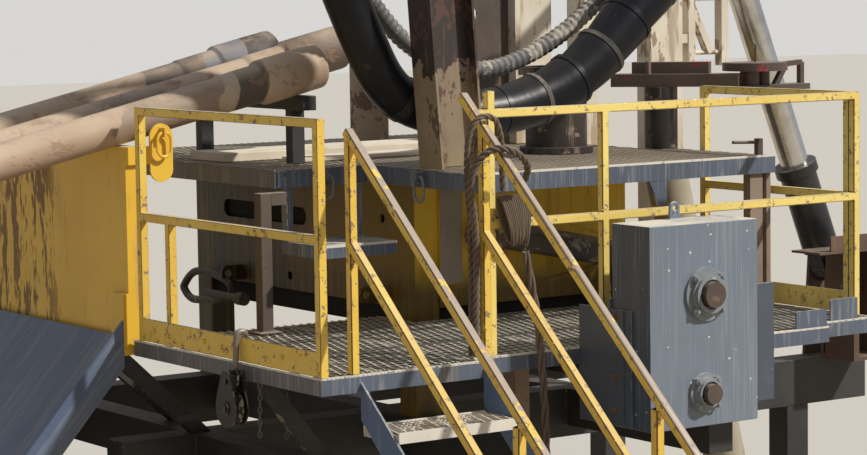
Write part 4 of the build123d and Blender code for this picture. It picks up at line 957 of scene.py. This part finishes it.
def blackHose(v):
    radius, segments = v["radius"], v["segments"]
    line = stretchOf(smoothLine([(x, v["y"], z) for x, z in v["route"]]), 0.0, 1.0, 90)
    tubeAlong("airHoseTube", line, radius, "rubber", segments, stands=("air_hoses",))
    width = (v["to"] - v["from"]) / v["wraps"]
    for i in range(v["wraps"]):
        start = v["from"] + width * i
        wide = v["grow"] * min(1.0, 0.45 + 0.3 * i)
        radii = [radius + 0.004 + wide * (0.35 + 0.65 * k / 7) for k in range(8)]
        radii[-1] -= 0.004
        wrap = stretchOf(line, start, start + width * 1.03, 8)
        tubeAlong("hoseWrap%d" % i, wrap, radii, "rubber", segments)
        rim = stretchOf(line, start + width * 0.9, start + width * 1.01, 3)
        finish = "hoseDust" if i % 2 else "rubber"
        tubeAlong("hoseWrapRim%d" % i, rim, radius + 0.006 + wide, finish, segments)
    for i, share in enumerate(v["bands"]):
        part = stretchOf(line, share, share + 0.012, 3)
        tubeAlong("hoseBand%d" % i, part, radius + 0.006, "cylinderBlack", segments)


def ribbedHose(v):
    line = smoothLine([(x, v["y"], z) for x, z in v["route"]])
    count = int(sum(stepsOf(line)) / v["rib"]) * 4
    radii = [v["radius"] - (v["depth"] if k % 4 > 1 else 0.0) for k in range(count)]
    tubeAlong("ribbedHose", stretchOf(line, 0.0, 1.0, count), radii, "ribbedGrey", v["segments"])


blackHose(hoseValues)
ribbedHose(ribbedValues)
print("air hoses made")


# ---- small pieces: bolts are each a place and a radius; coreShade is painted shade, black plates inside the core behind its slot and below its front panel
bearings = ((1.723, 0.253, 0.0708), (1.715, -0.178, 0.0528))
smallValues = {
    "bearingBolts": {"finish": "bearingGrey", "way": (0, -1, 0),
                     "bolts": [((x + dx, -0.43, z + dz), 0.009) for x, z, half in bearings
                               for dx in (-half, half) for dz in (-half, half)]},
    "bracketStrip": {"finish": "bracketNavy", "boxes": [((1.392, -0.24, -0.3), (1.3985, -0.12, 0.188))]},
    "bracketBolts": {"finish": "boltBrown", "way": (-1, 0, 0),
                     "bolts": [((1.392, -0.18, z), 0.013) for z in (0.16, -0.105, -0.25)]},
    "toeBoardBolts": {"finish": "leftRailPaint", "way": (-1, 0, 0),
                      "bolts": [((0.0, y, 0.05), 0.009) for y in (0.8, 1.27)]
                      + [((-0.0005, y, 0.06), 0.008) for y in (0.3, 0.95, 1.4)]},
    # painted shade: black plates inside the core
    "coreShade": {"finish": "shadeBlack", "boxes": [((1.392, 1.4, -0.05), (1.396, 3.3, 0.63)),
                                                    ((1.4, 1.345, -0.05), (2.58, 1.349, 0.3))]},
    "coreStrip": {"finish": "stripTaupe", "bevel": 0.0015,
                  "boxes": [((1.51, 1.3035, 0.16), (1.64, 1.3085, 0.617))]},
}


def smallPieces(pieces):
    for name, v in pieces.items():
        bm = bmesh.new()
        for low, high in v.get("boxes", ()):
            boxIn(bm, low, high)
        for place, radius in v.get("bolts", ()):
            boltIn(bm, place, v["way"], radius)
        finishPiece(name, bm, v["finish"], bevel=v.get("bevel", 0.0))


# a loop of wire round a middle, with its own reach along two ways
def loopRound(middle, way, reach, side, wide, count):
    angles = [2 * math.pi * k / count for k in range(count + 1)]
    return [middle + way * reach * math.cos(angle) + side * wide * math.sin(angle) for angle in angles]


chainValues = {"link": 0.034, "wide": 0.011, "wire": 0.0036, "facing": (0.82, -0.57, 0),
               "runs": (((0.02, 0.52, -0.074), (0.02, 0.53, -0.325)),
                        ((0.3, 0.758, -0.142), (0.3, 0.767, -0.387)))}
shackleValues = {"x": 1.28, "radius": 0.021, "pinX": 1.25, "pin": ((3.1, -0.01), (2.73, -0.015)),
                 "bow": ((3.404, -0.01), (3.335, 0.072), (3.183, 0.1), (3.026, 0.081), (2.903, 0.055),
                         (2.884, -0.002), (2.99, -0.043), (3.213, -0.065), (3.352, -0.07), (3.404, -0.01))}
blockValues = {"y": 0.64, "pivot": (0.003, 0.109), "wheel": (-0.049, -0.191), "bow": 0.024, "bar": 0.0145,
               "eye": {"back": 0.012, "drop": 0.178, "high": 0.038, "wide": 0.03, "wire": 0.0095},
               "gap": 0.026, "cheek": 0.087, "top": 0.038, "reach": 0.142, "plate": 0.006,
               "bosses": ((0.0, 0.007, 0.03, 24), (0.0, 0.016, 0.017, 6), (0.115, 0.01, 0.012, 6))}


def hangingChains(v):
    tubes = []
    pitch, wire = v["link"] - 2 * v["wire"], v["wire"]
    for start, finish in v["runs"]:
        start, finish = Vector(start), Vector(finish)
        way = (finish - start).normalized()
        side = way.cross(Vector(v["facing"])).normalized()
        for i in range(int((finish - start).length / pitch)):
            middle = start + way * pitch * (i + 0.5)
            flat = side if i % 2 else way.cross(side)
            tubes.append((loopRound(middle, way, v["link"] / 2 - wire, flat, v["wide"] - wire, 16), wire))
    addPiece("hangingChains", tubesMesh("hangingChains", tubes, 8), "chainSteel")


def liftingShackle(v):
    line = smoothLine([(v["x"], y, z) for y, z in v["bow"]])
    tubeAlong("liftingShackle", line, v["radius"], "suctionDark", 16)
    (y0, z0), (y1, z1) = v["pin"]
    bm = bmesh.new()
    rodIn(bm, (v["pinX"], y0, z0), (v["pinX"], y1, z1), 0.02, 16)
    rodIn(bm, (v["pinX"], y1 + 0.05, z1), (v["pinX"], y1 - 0.02, z1), 0.034, 16)
    finishPiece("shacklePin", bm, "suctionDark", bevel=0.004)


# the snatch block's hook, shackle, head and pear-shaped cheeks; each boss is how far above the wheel it is,
# how far it stands out, its radius and its sides
def snatchBlock(v):
    (pivotX, pivotZ), (wheelX, wheelZ), y = v["pivot"], v["wheel"], v["y"]
    line, radii = [], []
    for k in range(15):
        angle = math.radians(-28 + 208 * k / 14)
        line.append(Vector((pivotX + v["bow"] * math.cos(angle), y, pivotZ + v["bow"] * math.sin(angle))))
        radii.append(v["bar"] * min(1.0, 0.5 + 0.1 * k))
    for drop in (0.04, 0.08, 0.12, 0.15):
        line.append(Vector((pivotX - v["bow"] - 0.06 * drop, y, pivotZ - drop)))
        radii.append(v["bar"] * (1.0 - drop))
    tubeAlong("blockHook", line, radii, "hookWorn", 16, body="snatch_block")
    eye = v["eye"]
    middle = Vector((pivotX - v["bow"] - eye["back"], y, pivotZ - eye["drop"]))
    loop = loopRound(middle, Vector((0, 0, 1)), eye["high"], Vector((0, 1, 0)), eye["wide"], 24)
    tubeAlong("blockShackle", loop, eye["wire"], "blockBlack", 16, body="snatch_block")
    bm = bmesh.new()
    for side in (-1, 1):
        plate = bmesh.new()
        outer = wheelX + side * (v["gap"] + v["plate"])
        for x in (wheelX + side * v["gap"], outer):
            for k in range(40):
                sine, cosine = math.sin(2 * math.pi * k / 40), math.cos(2 * math.pi * k / 40)
                plate.verts.new(spot(x, y + v["cheek"] * cosine, wheelZ + v["cheek"] * sine))
                plate.verts.new(spot(x, y + v["top"] * cosine, wheelZ + v["reach"] + v["top"] * 0.5 * sine))
        hull = bmesh.ops.convex_hull(plate, input=plate.verts)
        bmesh.ops.delete(plate, geom=hull["geom_interior"], context="VERTS")
        mergeInto(bm, plate)
        for up, out, radius, segments in v["bosses"]:
            rodIn(bm, (outer, y, wheelZ + up), (outer + side * out, y, wheelZ + up), radius, segments)
    boxIn(bm, (wheelX - v["gap"], y - 0.027, wheelZ + 0.1), (wheelX + v["gap"], y + 0.027, wheelZ + 0.142))
    neck = pivotX - v["bow"] + 0.004
    boxIn(bm, (wheelX - 0.006, y - 0.014, wheelZ + 0.14), (neck, y + 0.014, wheelZ + 0.162))
    finishPiece("blockCheeks", bm, "blockBlack", body="snatch_block", stands=("snatch_block",), bevel=0.0022)


smallPieces(smallValues)
snatchBlock(blockValues)
hangingChains(chainValues)
liftingShackle(shackleValues)
print("small pieces made")


# ---- floor, light and world

# the camera sees the floor and the sky lighter than they light the pieces, and polished faces a little so
def cameraSees(tree):
    path = tree.nodes.new("ShaderNodeLightPath").outputs
    return mathNode("MAXIMUM", path["Is Camera Ray"], times(path["Is Glossy Ray"], 0.25))


def makeFloor():
    bm = bmesh.new()
    bmesh.ops.create_grid(bm, x_segments=1, y_segments=1, size=70)
    floor = inScene("floor", meshOf("floor", bm))
    material, shader, place, normal = startMaterial("paleFloor")
    seen = cameraSees(material.node_tree)
    feed(shader["Base Color"], mixColour(seen, (0.46, 0.38, 0.27), (0.6, 0.575, 0.53)))
    feed(shader["Roughness"], 0.9)
    floor.data.materials.append(material)


def makeLight():
    data = bpy.data.lights.new("sun", "SUN")
    data.energy, data.angle, data.color = 3.7, math.radians(2.0), (1.0, 0.95, 0.86)
    lamp = inScene("sun", data)
    lamp.rotation_mode = "QUATERNION"
    lamp.rotation_quaternion = Vector((0.5, -0.6, 0.66)).to_track_quat("Z", "Y")
    lamp.location = (0, 0, 12)
    world = bpy.data.worlds.new("sky")
    world.use_nodes = True
    back = world.node_tree.nodes["Background"].inputs
    seen = cameraSees(world.node_tree)
    feed(back["Color"], mixColour(seen, (0.34, 0.35, 0.37), (0.76, 0.75, 0.73)))
    feed(back["Strength"], 0.9)
    bpy.context.scene.world = world


makeFloor()
makeLight()
bpy.context.scene.view_settings.view_transform = "Standard"
print("scene finished")
